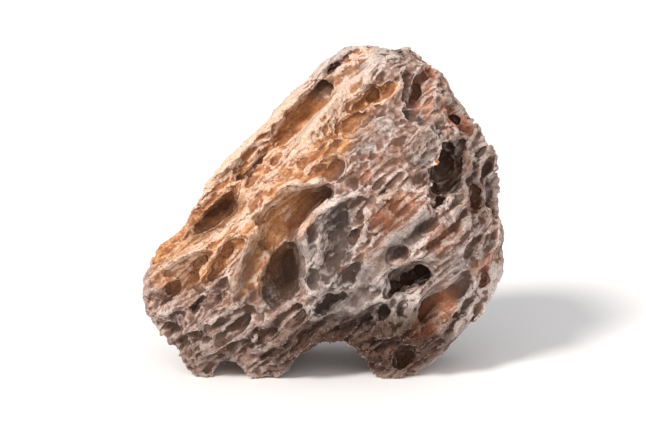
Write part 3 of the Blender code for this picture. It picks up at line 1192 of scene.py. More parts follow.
STROKES = (
    # the lip along the upper left edge, the crack inside it, and the steep flutes below
    Stroke(
        ((-88, 88), (-72, 101), (-60, 113), (-43, 129), (-26, 146), (-12, 160)),
        8.0, 7.5, 0.2, 1.0,
    ),
    Stroke(((-62, 107), (-53, 117), (-37, 131), (-22, 142)), 2.4, -3.0, 0.0),
    Stroke(((-66, 92), (-56, 102), (-44, 117), (-34, 130), (-27, 137)), 4.6, 5.5),
    Stroke(((-54, 92), (-46, 104), (-39, 118), (-31, 129)), 4.2, 5.2),
    Stroke(((-50, 90), (-42, 101), (-33, 115), (-26, 127)), 4.0, 5.0),
    Stroke(((-58, 86), (-64, 94), (-62, 101)), 3.0, 2.4),
    Stroke(((-88, 72), (-67, 87), (-50, 101)), 8.0, -8.0, 0.0, 0.8),
    Stroke(((-30, 126), (-13, 146), (0, 159)), 7.0, -5.0, 0.0, 1.0),
    # the two long ridges that climb along the grain, and the lumps between them
    Stroke(
        ((-50, 86), (-40, 97), (-28, 112), (-20, 124), (-9, 135), (1, 148), (15, 163), (30, 175),
         (42, 182)),
        7.5, 11.0, -0.45, 1.0,
    ),
    Stroke(
        ((-102, 52), (-90, 59), (-75, 68), (-61, 75), (-47, 84), (-34, 94), (-24, 103), (-12, 108),
         (4, 107), (14, 104)),
        5.8, 12.0, -0.3, 1.1,
    ),
    Stroke(((-36, 98), (-26, 106), (-16, 117), (-2, 126), (10, 134)), 4.6, 4.6),
    Stroke(((-22, 112), (-10, 114), (2, 120), (12, 126)), 4.0, 4.2),
    Stroke(((-14, 120), (-6, 128), (4, 130)), 3.0, 2.6),
    Stroke(((-30, 104), (-22, 111), (-12, 113), (-4, 110)), 4.0, 3.0),
    Stroke(((2, 114), (8, 122), (16, 124)), 3.0, 2.4),
    Stroke(((3, 107), (11, 110), (18, 117)), 5.0, 6.0, 0.0, 0.6),
    Stroke(((-96, 50), (-84, 58), (-70, 66), (-58, 74)), 4.5, 3.0),
    Stroke(((-86, 48), (-74, 54), (-64, 62)), 3.5, 2.6),
    # the low end, down to the feet
    Stroke(((-104, 42), (-92, 48), (-80, 56), (-70, 62)), 4.6, 5.0),
    Stroke(((-98, 28), (-84, 35), (-70, 43), (-58, 52)), 5.0, 6.0),
    Stroke(((-90, 16), (-72, 24), (-56, 33), (-47, 40)), 5.0, 6.0),
    Stroke(((-70, 8), (-54, 16), (-36, 26), (-24, 35)), 5.0, 6.0),
    Stroke(((-40, 8), (-24, 16), (-10, 27)), 4.6, 5.0),
    Stroke(((-20, 6), (-8, 14), (2, 24)), 4.0, 4.0),
    # the top: pale bands, the ledge under them, and the cracks between them
    Stroke(((-6, 166), (3, 174), (12, 181), (22, 187), (34, 189)), 6.5, 5.0, 0.3, 1.2),
    Stroke(((0, 158), (9, 170), (22, 180), (36, 185)), 6.5, 7.0, 0.3, 1.2),
    Stroke(((-1, 170), (9, 177), (16, 180)), 2.6, -4.0, 0.0),
    Stroke(((8, 160), (17, 169), (26, 176), (36, 181)), 6.0, 5.0, 0.0, 1.0),
    Stroke(((38, 189), (43, 184), (48, 178)), 3.0, -4.0, 0.0),
    Stroke(((6, 148), (18, 158), (32, 168), (42, 172)), 4.5, 2.8),
    Stroke(((12, 142), (24, 148), (38, 153), (46, 160)), 4.0, 2.4),
    # the finger with the slots beside it, the crest over the dark hollow, and the fill between
    # the finger and the long ridges
    Stroke(((-52, 42), (-49, 54), (-45, 66), (-40, 76), (-36, 82)), 6.0, 12.0, -0.2, 1.2),
    Stroke(((-49, 38), (-43, 50), (-38, 62), (-36, 74)), 9.0, 7.0, 0.0, 0.7),
    Stroke(((-68, 42), (-54, 60), (-40, 79)), 13.0, -5.0, 0.0, 0.8),
    Stroke(((-68, 50), (-59, 62), (-52, 74), (-42, 88)), 4.0, -6.0, 0.0, 1.0),
    Stroke(((-42, 34), (-33, 48), (-28, 60), (-27, 70)), 5.0, -7.0, 0.0, 1.0),
    Stroke(((-19, 74), (-15, 86), (-5, 97), (8, 105)), 4.0, -4.0, 0.0, 1.0),
    Stroke(((-74, 44), (-66, 56), (-60, 68)), 4.0, 5.0),
    Stroke(((-29, 65), (-22, 68), (-12, 74)), 3.0, 2.0),
    Stroke(((-34, 68), (-31, 78), (-23, 90), (-10, 101)), 12.0, 6.0, 0.0, 0.6),
    # the slab: its pale left rim, and its right one
    Stroke(
        ((-8, 44), (-10, 54), (-11, 66), (-10, 79), (-3, 90), (10, 97), (24, 100)),
        5.0, 11.0, 0.35, 1.2,
    ),
    Stroke(((24, 92), (23, 78), (13, 68), (10, 60), (1, 47), (-6, 42)), 4.0, 5.0, 0.0),
    Stroke(((15, 92), (12, 84), (13, 74)), 2.6, 1.8, 0.0),
    # ridges between the facets of the lower middle
    Stroke(((22, 58), (28, 67), (40, 77), (52, 87), (61, 98)), 6.0, 5.5, -0.2),
    Stroke(((-7, 28), (5, 33), (14, 41), (22, 47)), 4.0, 4.4),
    Stroke(((20, 42), (28, 47), (33, 56), (36, 66), (46, 72)), 3.4, 3.0),
    Stroke(((28, 33), (33, 25), (39, 19), (49, 24), (55, 37), (54, 47)), 3.8, 3.2, 0.0),
    Stroke(((34, 42), (41, 34), (40, 20)), 3.2, 3.8, 0.0),
    Stroke(((44, 40), (49, 32), (48, 24)), 2.6, 2.2, 0.0),
    Stroke(((36, 63), (46, 64), (58, 67), (66, 62)), 3.4, 3.0, 0.0),
    Stroke(((16, 30), (26, 34), (32, 42)), 3.2, 2.4),
    # the lower right: the fills that make its long trough shallow, the fill over the shaft, and
    # the ridges beside the trough and along the rim
    Stroke(((56.5, 24), (61, 29.5), (65, 34), (70, 40)), 9.0, 16.0, -0.4, 0.6),
    Stroke(((60, 28), (68, 36), (76, 44)), 10.0, 12.0, -0.3, 0.6),
    Stroke(((64, 101), (69, 110), (76, 121)), 9.0, 4.5, 0.0, 0.6),
    Stroke(((69, 12), (82, 29), (87, 45), (84, 54)), 5.0, 6.0, -0.3),
    Stroke(((79, 15), (93, 33), (103, 50)), 4.0, 2.6),
    Stroke(((49, 66), (60, 76), (73, 85), (80, 94)), 4.6, 5.0),
    Stroke(((62, 66), (70, 72), (80, 79), (88, 90)), 4.0, 4.2),
    Stroke(((75, 59), (79, 69), (86, 78), (95, 84)), 4.0, 4.2),
    Stroke(((90, 50), (95, 62), (100, 72)), 3.2, 2.4),
    # the knob and the fill under it, the rims of the deep shaft and the rust pocket, and the end
    Stroke(((57, 140), (65, 132), (65, 121), (58, 112)), 4.4, 5.5, -0.3),
    Stroke(((50, 118), (56, 127), (55, 136)), 11.0, 5.0, 0.0, 0.8),
    Stroke(((79, 91), (82, 103), (79, 115)), 4.2, 4.6),
    Stroke(((78, 103), (84, 115), (88, 126), (94, 134)), 4.6, 5.2),
    Stroke(((91, 145), (84, 133), (82, 121)), 4.2, 4.4),
    Stroke(((97, 128), (90, 118), (88, 109), (92, 94)), 4.2, 4.6),
    Stroke(((46, 150), (51, 163), (56, 173)), 4.6, 4.6, 0.3),
    Stroke(((60, 148), (64, 160), (66, 171)), 4.2, 4.4, -0.2),
    Stroke(((66, 158), (74, 152), (84, 146)), 3.6, 3.0),
    Stroke(((45, 150), (46, 144), (52, 142), (56, 147), (54, 152)), 2.2, 2.4, 0.0),
)

FACETS = (
    # the slab's own face, the finger's, and the walls of the dark hollow
    Facet(3, 68, 76, 26, 9, 4.0, 0.05, -0.3),
    Facet(-40, 60, 68, 20, 8, 1.5, 0.0, -0.5),
    Facet(-22, 55, 62, 20, 11, 8.0, 0.1, 0.2),
    Facet(-57, 58, 55, 13, 7, 1.5, 0.1, 0.4),
    # the pinkish one, its neighbours, and the leaves beside the slab
    Facet(28, 57, 48, 14, 8, 2.0, -0.1, -0.4),
    Facet(41, 64, 50, 8, 6, 3.5, 0.2, 0.3),
    Facet(7, 38, 40, 13, 7, 3.0, 0.0, 0.5),
    Facet(24, 40, 30, 11, 8, 3.0, -0.2, 0.4),
    Facet(46, 80, 45, 14, 6, 1.5, 0.0, 0.4),
    Facet(66, 72, 45, 14, 7, 2.0, 0.1, -0.4),
    # the high end: broad breaks beside the knob and the shaft
    Facet(74, 134, -40, 12, 8, 2.5, 0.2, 0.3),
    Facet(90, 108, 80, 18, 7, 2.0, 0.0, -0.4),
    Facet(92, 76, 70, 14, 7, 2.0, 0.1, -0.4),
    Facet(92, 40, 55, 18, 7, 1.5, 0.0, 0.4),
    Facet(24, 132, 30, 18, 11, 1.5, 0.1, -0.15),
    Facet(40, 168, 30, 14, 7, 1.5, 0.0, 0.3),
    # the low end
    Facet(-80, 38, 35, 18, 10, 3.0, 0.0, 0.3),
    Facet(-52, 24, 10, 20, 12, 3.0, 0.1, 0.3),
    Facet(-24, 26, 40, 16, 10, 3.0, 0.0, -0.3),
)

LEAVES = (
    # the trough under the lip, its lower pool, and the hollows of the upper face
    Leaf(-12, 145, 50, 24, 8.6, 3.6, 0.1, 0.4),
    Leaf(-60, 86, 35, 21, 8.6, 6.0, 0.3, 0.4),
    Leaf(32, 157, 27, 11, 3.6, 4.5, 0.3),
    Leaf(20, 181, 30, 9, 2.8, 3.0, 0.0),
    Leaf(43, 184, -50, 6, 2.2, 4.0, 0.0),
    Leaf(20, 143, 30, 14, 3.6, 2.4, 0.4),
    Leaf(5, 126, 36, 11, 2.6, 1.4, 0.4),
    Leaf(-8, 121, 34, 8, 2.6, 1.6, 0.4),
    Leaf(-3, 113, 24, 9, 2.4, 2.4, -0.2, 0.8),
    Leaf(13, 115, 20, 9, 2.8, 1.8, 0.4),
    # the rust pocket, the gash, and the hollows of the craggy end
    Leaf(56, 162, 74, 13, 5.4, 2.8, 0.4, 1.4),
    Leaf(76, 142, -40, 10, 3.4, 5.0, 0.0, 1.2),
    Leaf(72, 112, 58, 21, 9.0, 3.6, 0.2, 0.8),
    Leaf(89, 127, 62, 11, 4.2, 5.0, 0.3, 1.6),
    Leaf(87, 98, 80, 11, 4.2, 4.6, 0.0, 1.4),
    Leaf(94, 112, 85, 9, 3.4, 3.6, 0.0, 1.2),
    Leaf(75, 86, 40, 12, 4.2, 3.2, 0.2, 1.0),
    Leaf(93, 53, 68, 7, 4.0, 4.0, 0.0, 1.4),
    Leaf(96, 72, 75, 10, 3.4, 3.2, 0.0, 1.2),
    Leaf(85, 70, 50, 10, 3.8, 3.4, 0.2, 1.2),
    # the slab's own face, and between the webs of the lower middle
    Leaf(5, 70, 76, 27, 8.0, 3.0, -0.6, 1.8),
    Leaf(17, 74, 56, 7.5, 4.2, 5.0, 0.2, 1.4),
    Leaf(15, 54, 52, 9, 4.8, 6.5, 0.2, 1.2),
    Leaf(41, 65, 42, 9, 6.4, 4.0, 0.4, 1.4),
    Leaf(26, 53, 48, 15, 7.0, 2.6, -0.3, 1.4),
    Leaf(7, 41, 40, 11, 5.6, 3.6, 0.3, 1.2),
    Leaf(-7, 50, 62, 10, 3.2, 3.6, 0.0, 1.0),
    Leaf(36, 34, 62, 9, 3.4, 4.0, 0.2, 1.4),
    Leaf(45, 36, 62, 7, 2.6, 3.6, 0.0, 1.4),
    Leaf(49, 24, 48, 8, 3.6, 3.6, 0.0, 1.2),
    Leaf(27, 35, 70, 8, 3.0, 3.0, 0.0, 1.0),
    Leaf(52, 77, 42, 13, 4.2, 2.2, 0.2, 1.0),
    # the long groove of the lower right and the strip beside it
    Leaf(67, 36, 48, 27, 9.4, 5.0, -0.1, 1.8),
    Leaf(76, 47, 50, 14, 8.5, 5.5, -0.1, 1.2),
    Leaf(80, 31, 53, 15, 3.2, 3.0, 0.0, 1.2),
    Leaf(91, 36, 56, 13, 3.2, 2.4, 0.0, 1.2),
    # the finger's right face, the slot to its left, and the dark hollow
    Leaf(-40, 59, 66, 21, 6.4, 4.0, 0.3, 1.0),
    Leaf(-60, 60, 55, 15, 4.6, 4.6, -0.3, 1.0),
    Leaf(-21, 54, 66, 25, 11.0, 6.0, -0.3, 0.0),
    Leaf(-17, 86, 42, 29, 12.5, 4.4, -0.3, 0.0),
    # the low end
    Leaf(-80, 60, 38, 15, 3.6, 3.0, 0.2, 1.2),
    Leaf(-88, 44, 40, 13, 4.0, 3.6, -0.2, 1.2),
    Leaf(-70, 34, 42, 17, 5.0, 4.6, 0.2, 1.4),
    Leaf(-52, 22, 38, 15, 4.4, 4.0, -0.2, 1.2),
    Leaf(-76, 18, 34, 12, 3.8, 3.2, 0.2, 1.2),
    Leaf(-30, 22, 44, 14, 4.6, 4.4, 0.2, 1.4),
    Leaf(-36, 8, 20, 11, 3.2, 2.6, 0.0, 1.2),
    Leaf(-12, 16, 44, 10, 3.4, 3.0, 0.0, 1.2),
    Leaf(60, 14, 50, 9, 3.2, 3.0, 0.0, 1.2),
)

PITS = (
    # the dark hollow at the trough's upper end
    Pit(0, 162, 36, 7.5, 4.2, 7, 0.5),
    # the slots near the top, and the rust pocket's
    Pit(5, 173.5, 35, 7, 2.2, 7, 0.6),
    Pit(43, 184, -48, 6, 2.2, 5, 0.4),
    Pit(54, 160, 80, 6, 2.0, 4.5, 0.5),
    Pit(58, 168, 65, 4, 2.0, 5, 0.4),
    Pit(60, 155, 75, 5, 1.3, 5, 0.5),
    Pit(62, 150, 25, 4, 1.2, 5, 0.5),
    # the deep shaft, the slit below it, and the holes of the craggy end
    Pit(63, 103, 50, 8, 5.2, 12, 0.9),
    Pit(66, 97, 50, 8, 2.8, 12, 0.8),
    Pit(49, 145, 65, 4.5, 1.8, 6, 0.5),
    Pit(53, 144, 20, 3.6, 1.8, 7, 0.5),
    Pit(76, 143, -38, 6, 2.4, 7, 0.4),
    Pit(73, 127, 55, 4, 2.4, 7, 0.6),
    # the deep hollow of the lower right
    Pit(57, 56, 30, 7, 5.0, 13, 0.9),
    Pit(50, 52, 25, 8, 4.6, 13, 0.9),
    Pit(43, 48, 40, 7, 3.8, 12, 0.9),
    Pit(38, 44, 60, 5, 2.6, 9, 0.9),
    Pit(47, 5, 10, 7, 4.0, 8, 0.8),
)


# ---- The stone ----


@dataclass
class WeatheredStone:
    """The whole visible stone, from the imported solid's copy to the worn skin."""

    name: str = "weathered_stone"
    merge_distance: float = 0.01
    core_voxel: float = 1.6
    pit_voxel: float = 1.2
    skin_voxel: float = 1.2
    cutter_voxel: float = 0.9
    facet_turns: int = 16
    soften_factor: float = 0.5
    swell: float = 2.2
    carve_low: float = -0.1
    carve_high: float = 0.3
    normal_share: float = 0.35
    break_width: float = 9.0
    break_fall: float = 0.8
    break_share: float = 0.25
    break_limits: tuple[float, float] = (0.2, 1.6)
    cutter_jog: float = 0.3
    leaf_power: float = 0.3
    rim_width: float = 6.0
    rim_reach: float = 2.4
    keen_turns: int = 8
    keen_amount: float = 1.6
    keen_limit: float = 1.8
    calm_turns: int = 24
    even_turns: int = 3
    cut_turns: int = 1
    box_ease: float = 5.0
    crisp_angle: float = 38.0
    triangle_limit: int = 196_000
    marker: Marker = field(default_factory=Marker)

    def build(self) -> Object:
        """Makes the stone.

        Returns:
            The finished object, with its marks and measures as attributes.
        """
        stone = self.copy_core()
        self.marker.paint(stone)
        COARSE_WEAR.apply_to(stone)
        self.melt(stone, self.skin_voxel, 0)
        self.carve(stone)
        self.cut_pits(stone)
        self.marker.paint(stone)
        self.sharpen(stone)
        self.marker.paint(stone)
        FINE_WEAR.apply_to(stone)
        self.keep_in_box(stone)
        stone = self.drop_crumbs(stone)
        self.thin_out(stone)
        self.marker.paint(stone)
        Relief("relief").store(stone)
        select_only(stone)
        crisp = math.radians(self.crisp_angle)
        bpy.ops.object.shade_smooth_by_angle(angle=crisp, keep_sharp_edges=False)
        LOG.info("%s: %d faces", stone.name, len(stone.data.polygons))
        return stone

    def copy_core(self) -> Object:
        """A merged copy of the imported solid, with its facets smoothed away and a little swollen.

        Returns:
            The copy, as an object of its own.
        """
        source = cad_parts[NODE]
        stone = bpy.data.objects.new(self.name, source.data.copy())
        bpy.context.scene.collection.objects.link(stone)
        edit_all(stone, bpy.ops.mesh.remove_doubles, threshold=self.merge_distance * MM)
        stone.data.materials.clear()
        self.melt(stone, self.core_voxel, self.facet_turns)
        self.melt(stone, self.pit_voxel, 0)
        apply_modifier(stone, "swell", "DISPLACE", strength=self.swell * MM, mid_level=0.0)
        return stone

    def melt(self, stone: Object, voxel: float, turns: int) -> None:
        """Melts the object into one even skin, and smooths it for this many turns.

        Args:
            stone: the object to melt.
            voxel: how fine the new skin is, mm.
            turns: how many times it is smoothed.
        """
        apply_modifier(stone, "melt", "REMESH", mode="VOXEL", voxel_size=voxel * MM, adaptivity=0.0)
        if turns:
            apply_modifier(stone, "soften", "SMOOTH", factor=self.soften_factor, iterations=turns)

    def front_hit(self, tree: BVHTree, x: float, height: float) -> tuple[Vector, Vector]:
        """Where a look from the front meets the skin at this place, and the normal there.

        Args:
            tree: the skin, ready to be searched.
            x: how far along X the place is, mm.
            height: how high it is on the face, mm.

        Returns:
            The point that is met, and the normal there.
        """
        start = face_point(x, height) - FACE_IN * STAND_OFF
        point, normal, _, _ = tree.ray_cast(start, FACE_IN)
        if point is None:
            point, normal, _, _ = tree.find_nearest(face_point(x, height))
        return point, normal

    def tree_of(self, obj: Object) -> BVHTree:
        """A search tree over the object's present shape."""
        return BVHTree.FromObject(obj, bpy.context.evaluated_depsgraph_get())

    def carve(self, stone: Object) -> None:
        """Breaks the facets, sinks the leaves, draws the strokes, and melts the skin even.

        Args:
            stone: the stone so far.
        """
        tree = self.tree_of(stone)
        places, normals = (rows.astype(float) for rows in read_skin(stone))
        facing = facing_front(normals, self.carve_low, self.carve_high)
        x, height = face_places(places)
        inward = np.array(FACE_IN)
        for facet in FACETS:
            middle, _ = self.front_hit(tree, facet.x, facet.height)
            push = facet.push(x, height, (places @ inward - middle.dot(FACE_IN)) / MM)
            places += np.outer(push * facing * MM, inward)
        hollowed = np.zeros(len(places))
        for leaf in LEAVES:
            push = leaf.push(x, height)
            hollowed = np.where(np.abs(push) > np.abs(hollowed), push, hollowed)
        places += np.outer(hollowed * facing * MM, inward)
        rises = [stroke.rise(x, height) for stroke in STROKES]
        raised, sunk = np.maximum(0, np.max(rises, axis=0)), np.minimum(0, np.min(rises, axis=0))
        lift = (raised * self.unevenness(places) + sunk) * facing
        outward = self.normal_share * normals - (1 - self.normal_share) * inward
        places += outward * (lift * MM)[:, None]
        move_skin(stone, places)
        self.melt(stone, self.pit_voxel, self.even_turns)

    def unevenness(self, places: Array) -> Array:
        """How much of its height a ridge keeps at each point, so that none runs smooth."""
        heard = fractal_at(places, self.break_width * MM, Vector(), self.break_fall)
        return np.clip(1 + self.break_share * heard, *self.break_limits)

    def cut_pits(self, stone: Object) -> None:
        """Cuts every crisp hollow out of the stone.

        Args:
            stone: the stone so far.
        """
        tree = self.tree_of(stone)
        cutters = [self.make_cutter(i, pit, tree) for i, pit in enumerate(PITS)]
        block = cutters[0]
        select_only(block)
        for cutter in cutters[1:]:
            cutter.select_set(True)
        bpy.ops.object.join()
        self.melt(block, self.cutter_voxel, 0)
        self.roughen(block)
        cut = {"operation": "DIFFERENCE", "solver": "EXACT", "object": block}
        apply_modifier(stone, "cut", "BOOLEAN", **cut)
        bpy.data.objects.remove(block)
        self.melt(stone, self.pit_voxel, self.cut_turns)

    def roughen(self, block: Object) -> None:
        """Jogs every point of the cutters, so that the hollows have ragged rims.

        Args:
            block: all the cutters, joined.
        """
        size = self.rim_width * MM
        for vertex in block.data.vertices:
            vertex.co += noise.noise_vector(vertex.co / size) * (self.rim_reach * MM)

    def make_cutter(self, index: int, pit: Pit, tree: BVHTree) -> Object:
        """One hollow's cutter: a lumpy ball drawn out to the hollow's size and set in its place.

        Args:
            index: the hollow's number, which seeds its lumps.
            pit: the hollow's place, size and lean.
            tree: the skin, ready to be searched.

        Returns:
            The cutter, with its place in its mesh.
        """
        ball = bpy.ops.mesh.primitive_ico_sphere_add
        cutter = add_object(ball, f"cutter_{index}", subdivisions=2, radius=1)
        random = bpy.ops.transform.vertex_random
        edit_all(cutter, random, offset=self.cutter_jog, seed=index + 1)
        edit_all(cutter, bpy.ops.mesh.subdivide, number_cuts=3, smoothness=1.0)
        for vertex in cutter.data.vertices:
            vertex.co.y *= max(0.0, 1 - vertex.co.x**2) ** self.leaf_power
        point, normal = self.front_hit(tree, pit.x, pit.height)
        place = seat(point, normal.lerp(-FACE_IN, pit.straight), face_direction(pit.angle))
        size = Matrix.Diagonal((pit.length * MM, pit.width * MM, pit.depth * MM, 1))
        cutter.matrix_world = place @ size
        bpy.ops.object.transform_apply()
        return cutter

    def sharpen(self, stone: Object) -> None:
        """Makes ridges keener and creases deeper, and melts the skin even again.

        Args:
            stone: the stone so far.
        """
        relief = Relief("sharpen")
        relief.sharpen(stone, self.keen_turns, self.keen_amount, self.keen_limit, self.calm_turns)
        self.melt(stone, self.skin_voxel, self.even_turns)

    def keep_in_box(self, stone: Object) -> None:
        """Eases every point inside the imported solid's box, and levels the feet.

        Args:
            stone: the stone so far.
        """
        places = read_skin(stone)[0].astype(float)
        low, high = np.array(CAD_BOX[0]), np.array(CAD_BOX[1])
        ease = self.box_ease * MM
        over = np.maximum(places - (high - ease), 0)
        under = np.maximum((low + ease) - places, 0)
        under[:, 2] = 0
        eased = places - over + ease * np.tanh(over / ease) + under - ease * np.tanh(under / ease)
        move_skin(stone, np.clip(eased, low, high))

    def drop_crumbs(self, stone: Object) -> Object:
        """Splits off what the wear cut loose and keeps the largest piece.

        Args:
            stone: the stone so far.

        Returns:
            The largest piece, under the stone's name.
        """
        edit_all(stone, bpy.ops.mesh.separate, type="LOOSE")
        pieces = sorted(bpy.context.selected_objects, key=lambda piece: len(piece.data.vertices))
        for crumb in pieces[:-1]:
            bpy.data.objects.remove(crumb)
        LOG.info("%s: %d crumbs dropped", self.name, len(pieces) - 1)
        pieces[-1].name = self.name
        return pieces[-1]

    def thin_out(self, stone: Object) -> None:
        """Brings the skin under its limit of triangles.

        Args:
            stone: the finished skin.
        """
        stone.data.calc_loop_triangles()
        count = len(stone.data.loop_triangles)
        LOG.info("%s: %d triangles before thinning", stone.name, count)
        if count > self.triangle_limit:
            share = self.triangle_limit / count
            apply_modifier(stone, "thin", "DECIMATE", ratio=share, use_collapse_triangulate=True)


# ---- The finish ----

Span = tuple[float, ...]


@dataclass(frozen=True)
class Wave:
    """Noise that the finish is mottled with: the width of its lumps, how much finer lumps they
    carry, how strong those are, and whether it is drawn out along the grain."""

    size: float
    detail: float
    roughness: float = 0.6
    along: bool = False


@dataclass(frozen=True)
class ClayStoneFinish:
    """Dry weathered clay stone, water-worn and matt. It gives no gleam: the eye reads ochre clay
    left in the hollows, pale rubbed ribs, grey broken rock, and rust along the cracks.

    A share is the greatest cover of its layer. A span gives the two values between which a layer
    fades in, and after them the covers at its two ends where they aren't 0 and 1. The grit of a
    real stone is about 0.3 mm wide, which is too fine to show, so it is drawn at 1.4 mm."""

    name: str = "weathered_clay_stone"
    rock_dark: str = "7f6053"
    rock_light: str = "b09083"
    grey_dark: str = "7e7270"
    grey_light: str = "b5a8a2"
    clay_dark: str = "aa6d42"
    clay_light: str = "dca776"
    rust_dark: str = "89513d"
    rust_light: str = "c27f61"
    worn_cool: str = "d2c5bf"
    worn_warm: str = "e2c5b0"
    # painted shade for the hollows and for the places that the painted-shade mark covers
    gloom: str = "6d5a50"
    # earth and painted shade for the shut-in and the marked places
    soil_and_shade: str = "6b4f3d"
    # the dark grains and hairlines, and painted shade in creases
    grit_and_shade_dark: str = "5b463b"
    # painted shade in the creases of clay and rust
    crease_shade_dark: str = "8a4f2e"
    roughness: float = 0.9
    specular: float = 0.25
    grain_stretch: tuple[float, float, float] = (0.3, 1, 1)
    mottle: Wave = Wave(9.0, 7.0, 0.7)
    streak: Wave = Wave(4.5, 6.0, 0.7, True)
    broken: Wave = Wave(5.0, 6.0, 0.7, True)
    grit: Wave = Wave(1.4, 5.0, 0.8)
    grit_bump: Wave = Wave(1.4, 4.0, 0.7)
    layer_bump: Wave = Wave(1.4 * 1.6, 3.0, along=True)
    hairline: Wave = Wave(5.0, 3.0, along=True)
    hairline_place: Wave = Wave(9.0, 3.0)
    grey_fray: Wave = Wave(12.0, 5.0)
    clay_fray: Wave = Wave(14.0, 5.0)
    rust_fray: Wave = Wave(8.0, 5.0)
    pale_fray: Wave = Wave(7.0, 5.0)
    fray: float = 0.9
    pale_fray_share: float = 0.7
    fray_span: Span = (0.3, 0.75)
    fray_reach: Span = (0.0, 0.25)
    mottle_span: Span = (0.35, 0.65)
    broken_span: Span = (0.38, 0.6)
    rub_relief: Span = (0.0, 0.24)
    pale_relief: Span = (-0.5, 0.0)
    # where painted shade darkens the creases and the hollows, and how far clay and rust change it
    crack_relief: Span = (-0.06, -0.45)
    crack_cover: Span = (0.2, 0.9, 0.65, 0.52)
    hollow_relief: Span = (-0.3, -2.2)
    hollow_cover: Span = (0.7, 0.2, 0.1, 0.45)
    hairline_span: Span = (0.022, 0.0)
    hairline_shown: Span = (0.45, 0.62)
    grit_span: Span = (0.5, 0.32, 0.0, 0.75)
    pale_grit_span: Span = (0.53, 0.7, 0.0, 0.45)
    pale_grit_relief: Span = (-0.25, 0.1)
    # where painted shade darkens shut-in places, and where the earth-and-shade mark shows
    shut_air: Span = (0.3, 0.0)
    dirt_and_shade_air: Span = (0.75, 0.3)
    rust_share: float = 0.8
    rub_share: float = 0.78
    crest_share: float = 0.3
    pale_share: float = 0.85
    hairline_share: float = 0.6
    # how much painted shade darkens shut-in places, and how much earth and painted shade darken the
    # marked ones
    shut_shade_share: float = 0.2
    dirt_and_shade_share: float = 0.7
    pit_size: float = 2.2
    grit_height: float = 0.6
    layer_height: float = 0.5
    pit_height: float = 0.35
    bump_depth: float = 1.7


